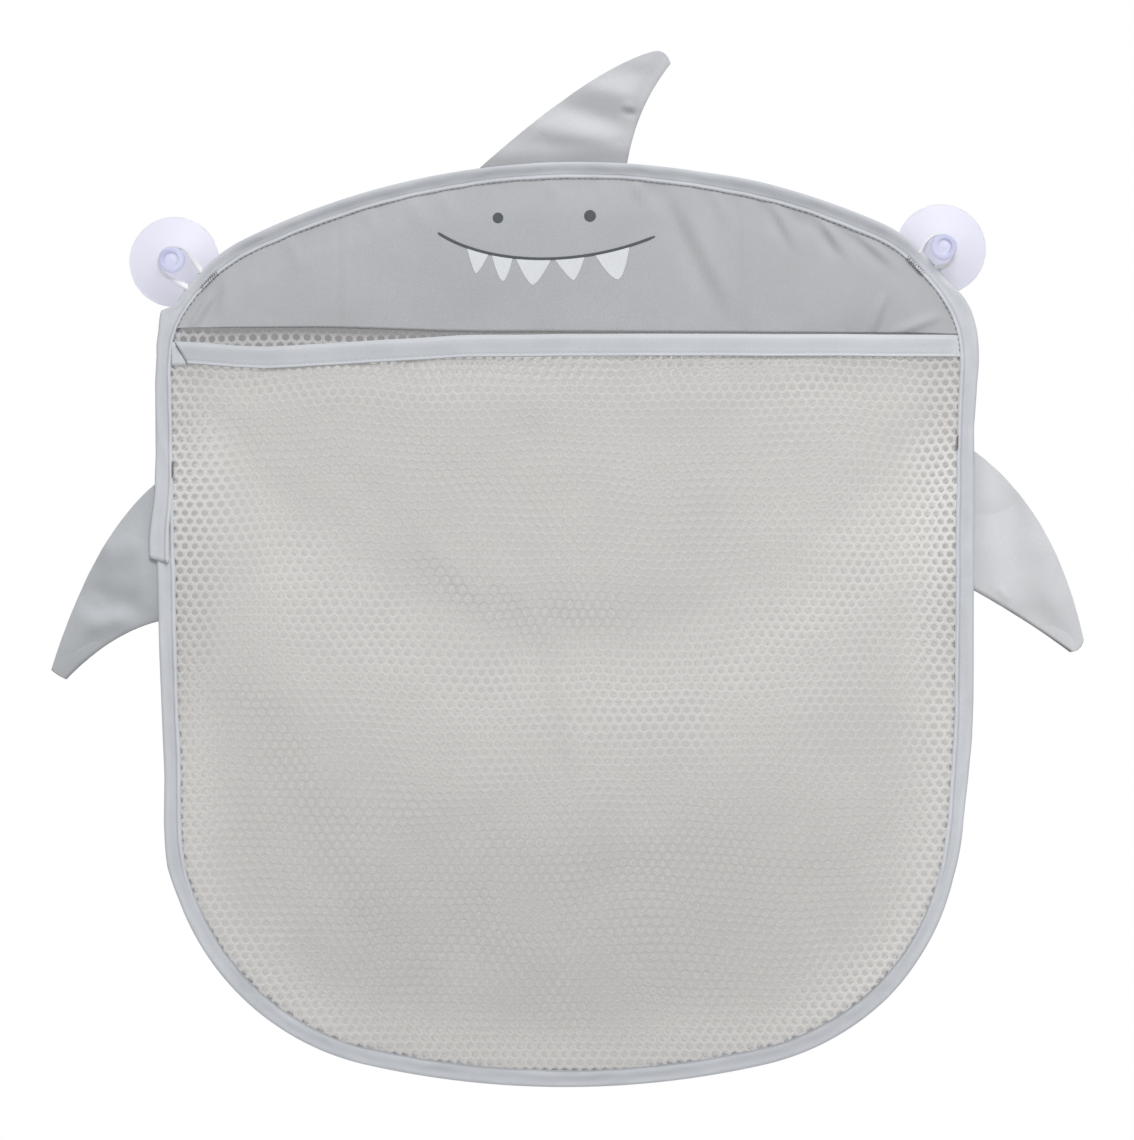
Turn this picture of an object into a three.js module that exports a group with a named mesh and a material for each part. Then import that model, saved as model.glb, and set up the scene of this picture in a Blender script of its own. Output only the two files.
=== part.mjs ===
// A bath toy bag in the shape of a shark. A net pocket, a woven head panel and a back net share one
// folded edge tape. Three padded fins are sewn to the tape, and two suction cups hang in elastic loops
// at its shoulders.
//
// The bag is drawn in its front view, in millimetres: x to the right, y up and z towards the viewer,
// with the wall at z = 0 and y = 0 level with the cups. The group that is exported turns that view
// upright, so that the finished part has +Z up and the wall on its +Y side.
import * as THREE from 'three';

// Outline of the bag, to the outer edge of its tape
const crownTop = 47;
const crownRadius = 380;
const crownShift = 6.5;
const shoulderHalfWidth = 205;
const shoulderRadius = 80;
const cornerHalfWidth = 201;
const cornerRadius = 130;
const bottomRadius = 450;
const bagBottom = -416;

// Fabrics, tapes and the room between their layers
const sheetThickness = 0.5;
const tapeThickness = 0.4;
const layClearance = 0.3;
const edgeTapeWidth = 9.5;
const sheetTuck = 1;

// Pocket mouth
const headHem = -37.5;
const mouthTop = -41;
const mouthTapeWidth = 11;
const pocketBow = 26;

// Back net: hexagon gaps, drawn coarser than the real five millimetre net
const netPitch = 32;
const netStrand = 4;
const netTuck = 1;

// Suction cups, revolved about their neck
const cupRadius = 22.75;
const cupRimWidth = 1.4;
const cupRimThickness = 0.9;
const cupHollow = 5.6;
const cupHollowBend = 12.8;
const bellHeight = 9.5;
const bellBendRadius = 9.6;
const bellBendHeight = 7.6;
const neckRadius = 4.8;
const neckLength = 6.5;
const headRadius = 6.5;
const headHeight = 5.2;
const headRingRadius = 3.7;
const headRingDepth = 0.7;
const headButtonRadius = 1.6;

// Place of each cup: angle on its shoulder arc, above level, and distance out from the tape
const leftCup = { side: -1, angle: 40.5, reach: 14 };
const rightCup = { side: 1, angle: 43.8, reach: 8.8 };

// Elastic loops round the necks
const loopThickness = 1.4;
const loopEase = 0.35;
const loopSideClearance = 0.5;
const loopSpread = 9.4;

// Fins. Each edge bends from the base to the tip, at points given along the base from its middle and
// out from the tape. The swell between the edges tapers off towards the base and the tip, and the
// wadding stops short of the edges, both by a share of the fin.
const dorsalFin = {
  baseMiddle: -5.75,
  baseLength: 74.5,
  leadBend: [18.2, 47.5],
  leadTip: [54.2, 56.5],
  trailBend: [39.7, 26.5],
  trailTip: [57.2, 52.5],
};
const leftFin = {
  baseMiddle: -148.7,
  baseLength: 69,
  leadBend: [-9, 29.7],
  leadTip: [57.5, 52.7],
  trailBend: [39.5, 23.7],
  trailTip: [62.5, 45.7],
};
const rightFin = {
  baseMiddle: -131.5,
  baseLength: 70.5,
  leadBend: [-5.2, 40],
  leadTip: [61.7, 54.5],
  trailBend: [49.7, 26.5],
  trailTip: [66.7, 50.5],
};
const finFabric = 0.5;
const finPuff = 2.8;
const finEndTaper = 0.08;
const waddingInset = 0.12;

// Gap between the edge tape and what is sewn to it
const seamGap = 0.3;

// Fineness of the curves
const arcStep = 18;
const arcAngleStep = THREE.MathUtils.degToRad(9);
const samePoint = 0.01;
const foldSteps = 4;
const cupSegments = 30;
const cupCurveSteps = 6;
const headCurveSteps = 4;
const loopSegments = 14;
const pocketRows = 20;
const pocketColumns = 20;
const mouthSteps = 24;
const finRows = 9;
const finColumns = 8;

// Layers. The front sheet and the back sheet lie either side of the seam plane, far enough apart for
// one flap of the mouth tape.
const seamPlane = bellHeight + neckLength / 2;
const layerGap = tapeThickness + 2 * layClearance;
const frontSheetBack = seamPlane + layerGap / 2;
const backSheetBack = seamPlane - layerGap / 2 - sheetThickness;
const edgeSlot = layerGap / 2 + sheetThickness + layClearance;
const edgeHalf = edgeSlot + tapeThickness;
const mouthSlot = sheetThickness / 2 + layClearance;
const mouthHalf = mouthSlot + tapeThickness;
const sheetInset = edgeHalf + sheetTuck;
const pocketInset = edgeTapeWidth + 2 * layClearance;

const materials = {
  net: new THREE.MeshStandardMaterial({ color: 0xdedcd9, roughness: 0.85, metalness: 0 }),
  head: new THREE.MeshStandardMaterial({ color: 0xaeb0b3, roughness: 0.9, metalness: 0 }),
  edgeTape: new THREE.MeshStandardMaterial({ color: 0xbfc3c9, roughness: 0.8, metalness: 0 }),
  mouthTape: new THREE.MeshStandardMaterial({ color: 0xc6cace, roughness: 0.8, metalness: 0 }),
  fin: new THREE.MeshStandardMaterial({ color: 0xbdc0c4, roughness: 0.85, metalness: 0 }),
  wadding: new THREE.MeshStandardMaterial({ color: 0xf2f2f0, roughness: 1, metalness: 0 }),
  elastic: new THREE.MeshStandardMaterial({ color: 0xf6f6f6, roughness: 0.7, metalness: 0 }),
  cup: new THREE.MeshStandardMaterial({ color: 0xe4e4f2, roughness: 0.15, metalness: 0 }),
};

const frontView = new THREE.Group();

function addPiece(name, geometry, material) {
  const mesh = new THREE.Mesh(geometry, material.clone());
  mesh.name = name;
  frontView.add(mesh);
  return mesh;
}

// The arcs of one side of the outline, from the bottom to the crown. Each arc runs between two angles
// above level, seen from its own centre, and meets the next without a corner.
function outlineArcs(side) {
  const crownCentre = new THREE.Vector2(crownShift, crownTop - crownRadius);
  const bottomCentre = new THREE.Vector2(0, bagBottom + bottomRadius);
  const shoulderCentre = nestedCentre(crownCentre, crownRadius, shoulderRadius, side * shoulderHalfWidth, 1);
  const cornerCentre = nestedCentre(bottomCentre, bottomRadius, cornerRadius, side * cornerHalfWidth, -1);
  const crownMeets = angleFrom(crownCentre, shoulderCentre, side);
  const bottomMeets = angleFrom(bottomCentre, cornerCentre, side);
  const span = shoulderCentre.distanceTo(cornerCentre);
  const lean = Math.acos((cornerRadius - shoulderRadius) / span);
  const flank = angleFrom(cornerCentre, shoulderCentre, side) - lean;
  return [
    { centre: bottomCentre, radius: bottomRadius, from: -Math.PI / 2, to: bottomMeets },
    { centre: cornerCentre, radius: cornerRadius, from: bottomMeets, to: flank },
    { centre: shoulderCentre, radius: shoulderRadius, from: flank, to: crownMeets },
    { centre: crownCentre, radius: crownRadius, from: crownMeets, to: Math.PI / 2 },
  ];
}

// Centre of a small arc that touches a large one from inside and reaches out as far as reachX
function nestedCentre(largeCentre, largeRadius, smallRadius, reachX, upward) {
  const x = reachX - Math.sign(reachX) * smallRadius;
  const rise = Math.sqrt((largeRadius - smallRadius) ** 2 - (x - largeCentre.x) ** 2);
  return new THREE.Vector2(x, largeCentre.y + upward * rise);
}

function angleFrom(start, end, side) {
  return Math.atan2(end.y - start.y, side * (end.x - start.x));
}

function onArc(arc, side, angle, inset) {
  const out = new THREE.Vector2(side * Math.cos(angle), Math.sin(angle));
  const point = arc.centre.clone().addScaledVector(out, arc.radius - inset);
  return { point, out };
}

const sides = { right: outlineArcs(1), left: outlineArcs(-1) };

// Points and outward directions round the whole outline, moved in by an inset
function outlinePoints(inset) {
  const halves = [1, -1].map((side) => {
    const half = [];
    for (const arc of side > 0 ? sides.right : sides.left) {
      const turn = arc.to - arc.from;
      const steps = Math.max(1, Math.ceil(Math.max((arc.radius * turn) / arcStep, turn / arcAngleStep)));
      for (let step = 0; step <= steps; step++) {
        half.push(onArc(arc, side, arc.from + (turn * step) / steps, inset));
      }
    }
    return half;
  });
  const loop = [...halves[0], ...halves[1].reverse()];
  return loop.filter((item, index) => {
    const next = loop[(index + 1) % loop.length];
    return item.point.distanceTo(next.point) > samePoint;
  });
}

// Where the outline, moved in by an inset, crosses a height on one side
function edgeX(height, side, inset) {
  const arcs = side > 0 ? sides.right : sides.left;
  let below = onArc(arcs[0], side, arcs[0].from, inset).point;
  for (const arc of arcs) {
    const start = onArc(arc, side, arc.from, inset).point;
    const end = onArc(arc, side, arc.to, inset).point;
    if (height < start.y) {
      return THREE.MathUtils.mapLinear(height, below.y, start.y, below.x, start.x);
    }
    if (height <= end.y) {
      const rise = height - arc.centre.y;
      return arc.centre.x + side * Math.sqrt((arc.radius - inset) ** 2 - rise ** 2);
    }
    below = end;
  }
  return below.x;
}

// How far the pocket's front stands out from its seam at a point: most at the mouth, nothing where it
// meets the edge tape. Along the mouth tape it depends on x alone, so the tape keeps its section.
const pocketBottom = bagBottom + pocketInset;
const mouthTapeBottom = mouthTop - mouthTapeWidth;

function pocketDepth(x, y) {
  const height = Math.min(y, mouthTapeBottom);
  if (height <= pocketBottom) {
    return 0;
  }
  const [left, right] = pocketSides(height);
  const across = (2 * x - left - right) / (right - left);
  const fall = (mouthTapeBottom - height) / (mouthTapeBottom - pocketBottom);
  return pocketBow * Math.max(0, 1 - across ** 2) * (1 - fall ** 2);
}

// The pocket is nowhere wider than at its mouth, so that the mouth tape clears the edge tape
function pocketSides(height) {
  const left = Math.max(edgeX(height, -1, pocketInset), edgeX(mouthTop, -1, pocketInset));
  const right = Math.min(edgeX(height, 1, pocketInset), edgeX(mouthTop, 1, pocketInset));
  return [left, right];
}

// Turns a closed surface the right way out
function facingOut(geometry) {
  const position = geometry.attributes.position;
  const index = geometry.index.array;
  const corners = [new THREE.Vector3(), new THREE.Vector3(), new THREE.Vector3()];
  let volume = 0;
  for (let i = 0; i < index.length; i += 3) {
    corners.forEach((corner, k) => corner.fromBufferAttribute(position, index[i + k]));
    volume += corners[0].dot(corners[1].clone().cross(corners[2]));
  }
  if (volume < 0) {
    index.reverse();
  }
  geometry.computeVertexNormals();
  return geometry;
}

function indexedGeometry(points, index) {
  const geometry = new THREE.BufferGeometry();
  const positions = points.flatMap((point) => point.toArray());
  geometry.setAttribute('position', new THREE.Float32BufferAttribute(positions, 3));
  geometry.setIndex(index);
  return facingOut(geometry);
}

// A closed solid between two grids of points with the same rows and columns
function solidBetween(front, back) {
  const rows = front.length;
  const columns = front[0].length;
  const index = [];
  const at = (layer, row, column) => layer * rows * columns + row * columns + column;
  const quad = (a, b, c, d) => index.push(a, b, c, a, c, d);
  for (let row = 0; row + 1 < rows; row++) {
    for (let column = 0; column + 1 < columns; column++) {
      quad(at(0, row, column), at(0, row + 1, column), at(0, row + 1, column + 1), at(0, row, column + 1));
      quad(at(1, row, column), at(1, row, column + 1), at(1, row + 1, column + 1), at(1, row + 1, column));
    }
    quad(at(0, row, 0), at(1, row, 0), at(1, row + 1, 0), at(0, row + 1, 0));
    const last = columns - 1;
    quad(at(0, row, last), at(0, row + 1, last), at(1, row + 1, last), at(1, row, last));
  }
  for (let column = 0; column + 1 < columns; column++) {
    quad(at(0, 0, column), at(0, 0, column + 1), at(1, 0, column + 1), at(1, 0, column));
    const last = rows - 1;
    quad(at(0, last, column), at(1, last, column), at(1, last, column + 1), at(0, last, column + 1));
  }
  return indexedGeometry([...front.flat(), ...back.flat()], index);
}

// Section of a folded tape, as outward offset and depth: a round fold at offset 0 and two flaps that
// hold the sheets between them
function foldedSection(width, half, slot) {
  const section = [new THREE.Vector2(-width, half)];
  for (let step = 0; step <= foldSteps; step++) {
    const angle = Math.PI / 2 - (Math.PI * step) / foldSteps;
    section.push(new THREE.Vector2(-half + half * Math.cos(angle), half * Math.sin(angle)));
  }
  section.push(new THREE.Vector2(-width, -half), new THREE.Vector2(-width, -slot));
  section.push(new THREE.Vector2(-half, -slot), new THREE.Vector2(-half, slot));
  section.push(new THREE.Vector2(-width, slot));
  return section;
}

function sheetGeometry(points, holes = []) {
  const shape = new THREE.Shape(points);
  shape.holes = holes;
  return new THREE.ExtrudeGeometry(shape, { depth: sheetThickness, bevelEnabled: false });
}

// Edge tape: its folded section carried round the outline
function makeEdgeTape() {
  const outline = outlinePoints(0);
  const section = foldedSection(edgeTapeWidth, edgeHalf, edgeSlot);
  const points = [];
  const index = [];
  outline.forEach(({ point, out }, i) => {
    const next = (i + 1) % outline.length;
    section.forEach((corner, k) => {
      const place = point.clone().addScaledVector(out, corner.x);
      points.push(new THREE.Vector3(place.x, place.y, seamPlane + corner.y));
      const nextCorner = (k + 1) % section.length;
      const a = i * section.length + k;
      const b = next * section.length + k;
      const c = next * section.length + nextCorner;
      const d = i * section.length + nextCorner;
      index.push(a, b, c, a, c, d);
    });
  });
  addPiece('edge_binding', indexedGeometry(points, index), materials.edgeTape);
}

// Back net: the whole outline, with rows of hexagon gaps that run on until they are under the edge tape
function makeBackNet() {
  const outline = outlinePoints(sheetInset).map((item) => item.point);
  const gapEdge = outlinePoints(edgeTapeWidth - netTuck).map((item) => item.point);
  const gapRadius = (netPitch - netStrand) / Math.sqrt(3);
  const rowPitch = (netPitch * Math.sqrt(3)) / 2;
  const rowCount = Math.ceil((crownTop - bagBottom) / rowPitch);
  const columnCount = Math.ceil(shoulderHalfWidth / netPitch);
  const holes = [];
  for (let row = 0; row <= rowCount; row++) {
    const y = bagBottom + row * rowPitch;
    const shift = (row % 2) * (netPitch / 2);
    for (let column = -columnCount; column <= columnCount; column++) {
      const centre = new THREE.Vector2(column * netPitch + shift, y);
      const gap = clipped(hexagon(centre, gapRadius), gapEdge);
      if (gap.length > 2 && THREE.ShapeUtils.area(gap) > netStrand ** 2) {
        holes.push(new THREE.Path(gap));
      }
    }
  }
  const net = addPiece('back_mesh', sheetGeometry(outline, holes), materials.net);
  net.position.z = backSheetBack;
}

function hexagon(centre, radius) {
  const corners = [];
  for (let corner = 0; corner < 6; corner++) {
    const angle = Math.PI / 6 + (corner * Math.PI) / 3;
    const arm = new THREE.Vector2(Math.cos(angle), Math.sin(angle));
    corners.push(centre.clone().addScaledVector(arm, radius));
  }
  return corners;
}

// The part of a gap that lies inside a convex outline, cut along one edge of the outline after another
function clipped(gap, outline) {
  return outline.reduce((kept, start, edge) => {
    const run = outline[(edge + 1) % outline.length].clone().sub(start);
    const inside = kept.map((corner) => run.cross(corner.clone().sub(start)));
    return kept.flatMap((corner, k) => {
      const before = (k + kept.length - 1) % kept.length;
      const crosses = inside[before] * inside[k] < 0;
      const share = inside[before] / (inside[before] - inside[k]);
      const cut = crosses ? [kept[before].clone().lerp(corner, share)] : [];
      return inside[k] >= 0 ? [...cut, corner] : cut;
    });
  }, gap);
}

// Head panel: the outline above its folded lower edge
function makeHeadPanel() {
  const upper = outlinePoints(sheetInset).map((item) => item.point);
  const points = upper.filter((point) => point.y > headHem);
  points.push(new THREE.Vector2(edgeX(headHem, -1, sheetInset), headHem));
  points.push(new THREE.Vector2(edgeX(headHem, 1, sheetInset), headHem));
  const panel = addPiece('head_panel', sheetGeometry(points), materials.head);
  panel.position.z = frontSheetBack;
}

// Front net: rows from the mouth tape down to the bottom, closer together where the bottom rounds off
function makeFrontNet() {
  const top = mouthTop - mouthHalf - sheetTuck;
  const bottom = bagBottom + sheetInset + layClearance;
  const front = [];
  const back = [];
  for (let row = 0; row <= pocketRows; row++) {
    const y = top + (bottom - top) * Math.sin((row / pocketRows) * (Math.PI / 2));
    const xs = pocketRowPlaces(y);
    back.push(xs.map((x) => new THREE.Vector3(x, y, frontSheetBack + pocketDepth(x, y))));
    front.push(back[row].map((point) => point.clone().setZ(point.z + sheetThickness)));
  }
  addPiece('front_mesh', solidBetween(front, back), materials.net);
}

function pocketRowPlaces(y) {
  const ends = [edgeX(y, -1, sheetInset), edgeX(y, 1, sheetInset)];
  if (y <= pocketBottom) {
    return evenPlaces(ends[0], ends[1], pocketColumns + 2);
  }
  const inner = evenPlaces(...pocketSides(y), pocketColumns);
  return [ends[0], ...inner, ends[1]];
}

function evenPlaces(from, to, steps) {
  return Array.from({ length: steps + 1 }, (_, step) => from + ((to - from) * step) / steps);
}

// Mouth tape: folded over the upper edge of the front net, and bowed out with it
function makeMouthTape() {
  const left = Math.max(...mouthEnds(-1)) + layClearance;
  const right = Math.min(...mouthEnds(1)) - layClearance;
  const section = foldedSection(mouthTapeWidth, mouthHalf, mouthSlot);
  const shape = new THREE.Shape(section.map((corner) => new THREE.Vector2(corner.y, corner.x)));
  const options = { depth: right - left, steps: mouthSteps, bevelEnabled: false };
  const straight = new THREE.ExtrudeGeometry(shape, options);
  const position = straight.attributes.position;
  const middle = frontSheetBack + sheetThickness / 2;
  for (let i = 0; i < position.count; i++) {
    const x = left + position.getZ(i);
    const z = middle + position.getX(i) + pocketDepth(x, mouthTapeBottom);
    position.setXYZ(i, x, mouthTop + position.getY(i), z);
  }
  straight.setIndex([...Array(position.count).keys()]);
  addPiece('mouth_binding', facingOut(straight), materials.mouthTape);
}

function mouthEnds(side) {
  return [mouthTop, mouthTapeBottom].map((y) => edgeX(y, side, edgeTapeWidth));
}

// Frame of a fin: the middle of its base on the outline, the way its base runs and the way it stands
// out. The edge under it is an arc on the crown and straight on the flanks.
function crownSeam(fin) {
  const arc = sides.right[3];
  const lean = Math.asin((fin.baseMiddle - crownShift) / crownRadius);
  const out = new THREE.Vector2(Math.sin(lean), Math.cos(lean));
  const middle = arc.centre.clone().addScaledVector(out, crownRadius);
  return { middle, out, along: new THREE.Vector2(out.y, -out.x), radius: crownRadius };
}

function flankSeam(fin, side) {
  const angle = (side > 0 ? sides.right : sides.left)[2].from;
  const middle = new THREE.Vector2(edgeX(fin.baseMiddle, side, 0), fin.baseMiddle);
  const out = new THREE.Vector2(side * Math.cos(angle), Math.sin(angle));
  return { middle, out, along: new THREE.Vector2(side * out.y, -side * out.x), radius: Infinity };
}

// A fin is lofted from its base to its tip between a leading and a trailing edge, and swells between
// them like a thin cushion
function makeFin(name, fin, seam) {
  const half = fin.baseLength / 2;
  const drop = (along) => {
    return seam.radius === Infinity ? 0 : seam.radius - Math.sqrt(seam.radius ** 2 - along ** 2);
  };
  const edge = (end, bend, tip) => {
    const start = new THREE.Vector2(end, seamGap - drop(end));
    return new THREE.QuadraticBezierCurve(start, new THREE.Vector2(...bend), new THREE.Vector2(...tip));
  };
  const lead = edge(-half, fin.leadBend, fin.leadTip);
  const trail = edge(half, fin.trailBend, fin.trailTip);
  const place = (u, v, z) => {
    const local = lead.getPoint(v).lerp(trail.getPoint(v), u);
    const bulge = (drop(half) - drop(half * (2 * u - 1))) * (1 - v) ** 2;
    const flat = seam.middle.clone().addScaledVector(seam.along, local.x);
    flat.addScaledVector(seam.out, local.y + bulge);
    return new THREE.Vector3(flat.x, flat.y, seamPlane + z);
  };
  const swell = (u, v) => {
    const arch = Math.sin(Math.PI * THREE.MathUtils.lerp(finEndTaper, 1 - finEndTaper, v));
    return finPuff * Math.sqrt(4 * u * (1 - u)) * arch;
  };
  const grid = (inset, depth) => {
    return evenPlaces(inset, 1 - inset, finRows).map((v) => {
      return evenPlaces(inset, 1 - inset, finColumns).map((u) => place(u, v, depth(u, v)));
    });
  };
  const inner = (u, v) => layClearance / 2 + Math.max(0, swell(u, v));
  const outer = (u, v) => inner(u, v) + finFabric;
  const filling = (u, v) => swell(u, v) - layClearance / 2;
  const mirrored = (depth) => (u, v) => -depth(u, v);
  addPiece(`${name}_front`, solidBetween(grid(0, outer), grid(0, inner)), materials.fin);
  addPiece(`${name}_back`, solidBetween(grid(0, mirrored(inner)), grid(0, mirrored(outer))), materials.fin);
  const wadding = solidBetween(grid(waddingInset, filling), grid(waddingInset, mirrored(filling)));
  addPiece(`${name}_wadding`, wadding, materials.wadding);
}

// Suction cup: a thin bell with a flat rim, a neck and a mushroom head with a ring sunk in its face
function cupProfile() {
  const hollowRadius = cupRadius - cupRimWidth;
  const headBase = bellHeight + neckLength;
  const headTop = headBase + headHeight;
  const inside = new THREE.QuadraticBezierCurve(
    new THREE.Vector2(0, cupHollow),
    new THREE.Vector2(cupHollowBend, cupHollow),
    new THREE.Vector2(hollowRadius, 0),
  );
  const outside = new THREE.QuadraticBezierCurve(
    new THREE.Vector2(cupRadius, cupRimThickness),
    new THREE.Vector2(bellBendRadius, bellBendHeight),
    new THREE.Vector2(neckRadius, bellHeight),
  );
  const headEdge = new THREE.QuadraticBezierCurve(
    new THREE.Vector2(headRadius, headBase + headHeight / 2),
    new THREE.Vector2(headRadius, headTop),
    new THREE.Vector2((headRadius + headRingRadius) / 2, headTop),
  );
  const slope = headRingDepth / 2;
  return [
    ...inside.getPoints(cupCurveSteps),
    new THREE.Vector2(cupRadius, 0),
    ...outside.getPoints(cupCurveSteps),
    new THREE.Vector2(neckRadius, headBase),
    new THREE.Vector2(headRadius, headBase),
    ...headEdge.getPoints(headCurveSteps),
    new THREE.Vector2(headRingRadius, headTop),
    new THREE.Vector2(headRingRadius - slope, headTop - headRingDepth),
    new THREE.Vector2(headButtonRadius + slope, headTop - headRingDepth),
    new THREE.Vector2(headButtonRadius, headTop),
    new THREE.Vector2(0, headTop),
  ];
}

// Elastic loop: a narrow strap on edge, from the tape round the neck and back, drawn along the tape (x)
// and out from it (y)
function loopShape(reach) {
  const middle = neckRadius + loopEase + loopThickness / 2;
  const shape = new THREE.Shape();
  const strap = (radius, spread) => {
    const foot = new THREE.Vector2(spread, seamGap);
    const toNeck = new THREE.Vector2(-spread, reach - seamGap);
    const bearing = Math.atan2(-toNeck.y, -toNeck.x);
    return { foot, radius, tangent: bearing + Math.acos(radius / toNeck.length()) };
  };
  const outer = strap(middle + loopThickness / 2, (loopSpread + loopThickness) / 2);
  const inner = strap(middle - loopThickness / 2, (loopSpread - loopThickness) / 2);
  shape.moveTo(outer.foot.x, outer.foot.y);
  shape.absarc(0, reach, outer.radius, outer.tangent, Math.PI - outer.tangent, false);
  shape.lineTo(-outer.foot.x, outer.foot.y);
  shape.lineTo(-inner.foot.x, inner.foot.y);
  shape.absarc(0, reach, inner.radius, Math.PI - inner.tangent, inner.tangent, true);
  shape.lineTo(inner.foot.x, inner.foot.y);
  return shape;
}

function makeCup(name, cup) {
  const arc = (cup.side > 0 ? sides.right : sides.left)[2];
  const seam = onArc(arc, cup.side, THREE.MathUtils.degToRad(cup.angle), 0);
  const width = neckLength - 2 * loopSideClearance;
  const strap = new THREE.ExtrudeGeometry(loopShape(cup.reach), {
    depth: width,
    curveSegments: loopSegments,
    bevelEnabled: false,
  });
  const loop = addPiece(`${name}_loop`, strap, materials.elastic);
  loop.position.set(seam.point.x, seam.point.y, seamPlane - width / 2);
  loop.rotation.z = Math.atan2(seam.out.y, seam.out.x) - Math.PI / 2;
  const bell = new THREE.LatheGeometry(cupProfile(), cupSegments);
  const body = addPiece(`${name}_cup`, bell, materials.cup);
  const centre = seam.point.clone().addScaledVector(seam.out, cup.reach);
  body.position.set(centre.x, centre.y, 0);
  body.rotation.x = Math.PI / 2;
}

makeBackNet();
makeFrontNet();
makeHeadPanel();
makeEdgeTape();
makeMouthTape();
makeFin('dorsal_fin', dorsalFin, crownSeam(dorsalFin));
makeFin('left_fin', leftFin, flankSeam(leftFin, -1));
makeFin('right_fin', rightFin, flankSeam(rightFin, 1));
makeCup('left', leftCup);
makeCup('right', rightCup);

frontView.rotation.x = Math.PI / 2;
const bag = new THREE.Group();
bag.add(frontView);

export default bag;
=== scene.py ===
import bisect
import math

import bmesh
import bpy
from mathutils import Matrix, Vector, kdtree, noise


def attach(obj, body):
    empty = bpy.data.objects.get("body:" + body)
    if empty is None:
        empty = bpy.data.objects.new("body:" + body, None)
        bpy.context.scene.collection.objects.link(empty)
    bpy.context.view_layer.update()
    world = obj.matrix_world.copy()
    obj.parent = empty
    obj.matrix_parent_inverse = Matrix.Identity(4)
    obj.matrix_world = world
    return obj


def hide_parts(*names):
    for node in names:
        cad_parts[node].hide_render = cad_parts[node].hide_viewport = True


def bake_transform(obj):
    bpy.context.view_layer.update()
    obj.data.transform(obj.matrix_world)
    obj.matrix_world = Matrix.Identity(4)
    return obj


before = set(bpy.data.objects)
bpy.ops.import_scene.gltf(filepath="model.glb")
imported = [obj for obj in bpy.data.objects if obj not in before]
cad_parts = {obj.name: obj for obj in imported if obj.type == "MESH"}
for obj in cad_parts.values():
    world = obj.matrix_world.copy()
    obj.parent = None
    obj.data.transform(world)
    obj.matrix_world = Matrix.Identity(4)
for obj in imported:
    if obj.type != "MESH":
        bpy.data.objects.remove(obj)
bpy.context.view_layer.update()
print("frame loaded:", len(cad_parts), "nodes")

scene = bpy.context.scene
mm = 0.001

# the bag's outline to the outer edge of its tape, in front view millimetres
bagShape = {
    "crownTop": 47, "crownRadius": 380, "crownShift": 6.5,
    "shoulderHalfWidth": 205, "shoulderRadius": 80,
    "cornerHalfWidth": 201, "cornerRadius": 130,
    "bottomRadius": 450, "bagBottom": -416,
    "seamDepth": 12.75, "frontDepth": 13.5, "backDepth": 12.0,
}


def place(x, height, depth):
    # front view to the frame: depth is towards the viewer
    return Vector((x * mm, -depth * mm, height * mm))


def smooth(value, low, high):
    t = min(1.0, max(0.0, (value - low) / (high - low)))
    return t * t * (3 - 2 * t)


def between(value, low, full, past, high):
    # rises from low to full and falls from past to high
    return smooth(value, low, full) * (1 - smooth(value, past, high))


def hump(value, middle, width):
    # a soft peak of 1
    return math.exp(-((value - middle) / width) ** 2)


def ripple(x, y, seed):
    return noise.noise(Vector((x, y, seed)))


def readTable(rows, value):
    # straight lines between the listed places
    for (a, first), (b, second) in zip(rows, rows[1:]):
        if value < b:
            return first + (second - first) * max(0.0, (value - a) / (b - a))
    return rows[-1][1]


def bezier(points, t):
    # a smooth curve from the first point to the last
    points = [Vector(p) for p in points]
    while len(points) > 1:
        points = [a.lerp(b, t) for a, b in zip(points, points[1:])]
    return points[0]


def nestedCentre(centre, radius, small, reachX, upward):
    x = reachX - math.copysign(small, reachX)
    rise = math.sqrt((radius - small) ** 2 - (x - centre.x) ** 2)
    return Vector((x, centre.y + upward * rise))


def angleFrom(start, end, side):
    return math.atan2(end.y - start.y, side * (end.x - start.x))


def outlineArcs(side):
    # arcs of one side from the bottom to the crown, each touching the next
    s = bagShape
    crown = Vector((s["crownShift"], s["crownTop"] - s["crownRadius"]))
    bottom = Vector((0, s["bagBottom"] + s["bottomRadius"]))
    shoulder = nestedCentre(crown, s["crownRadius"], s["shoulderRadius"], side * s["shoulderHalfWidth"], 1)
    corner = nestedCentre(bottom, s["bottomRadius"], s["cornerRadius"], side * s["cornerHalfWidth"], -1)
    crownMeets = angleFrom(crown, shoulder, side)
    bottomMeets = angleFrom(bottom, corner, side)
    lean = math.acos((s["cornerRadius"] - s["shoulderRadius"]) / (shoulder - corner).length)
    flank = angleFrom(corner, shoulder, side) - lean
    return [
        (bottom, s["bottomRadius"], -math.pi / 2, bottomMeets),
        (corner, s["cornerRadius"], bottomMeets, flank),
        (shoulder, s["shoulderRadius"], flank, crownMeets),
        (crown, s["crownRadius"], crownMeets, math.pi / 2),
    ]


sides = {1: outlineArcs(1), -1: outlineArcs(-1)}


def outlineLoop(step):
    # points and outward directions round the whole edge
    loop = []
    for side in (1, -1):
        half = []
        for centre, radius, start, stop in sides[side]:
            count = math.ceil(radius * (stop - start) / step)
            for i in range(count + 1):
                angle = start + (stop - start) * i / count
                out = Vector((side * math.cos(angle), math.sin(angle)))
                point = centre + out * radius
                if half and (point - half[-1][0]).length > 2 * step:  # straight flank
                    last = half[-1][0]
                    fill = int((point - last).length / step)
                    half += [(last.lerp(point, k / fill), out) for k in range(1, fill)]
                half.append((point, out))
        loop += half if side > 0 else half[::-1]
    return loop


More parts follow.
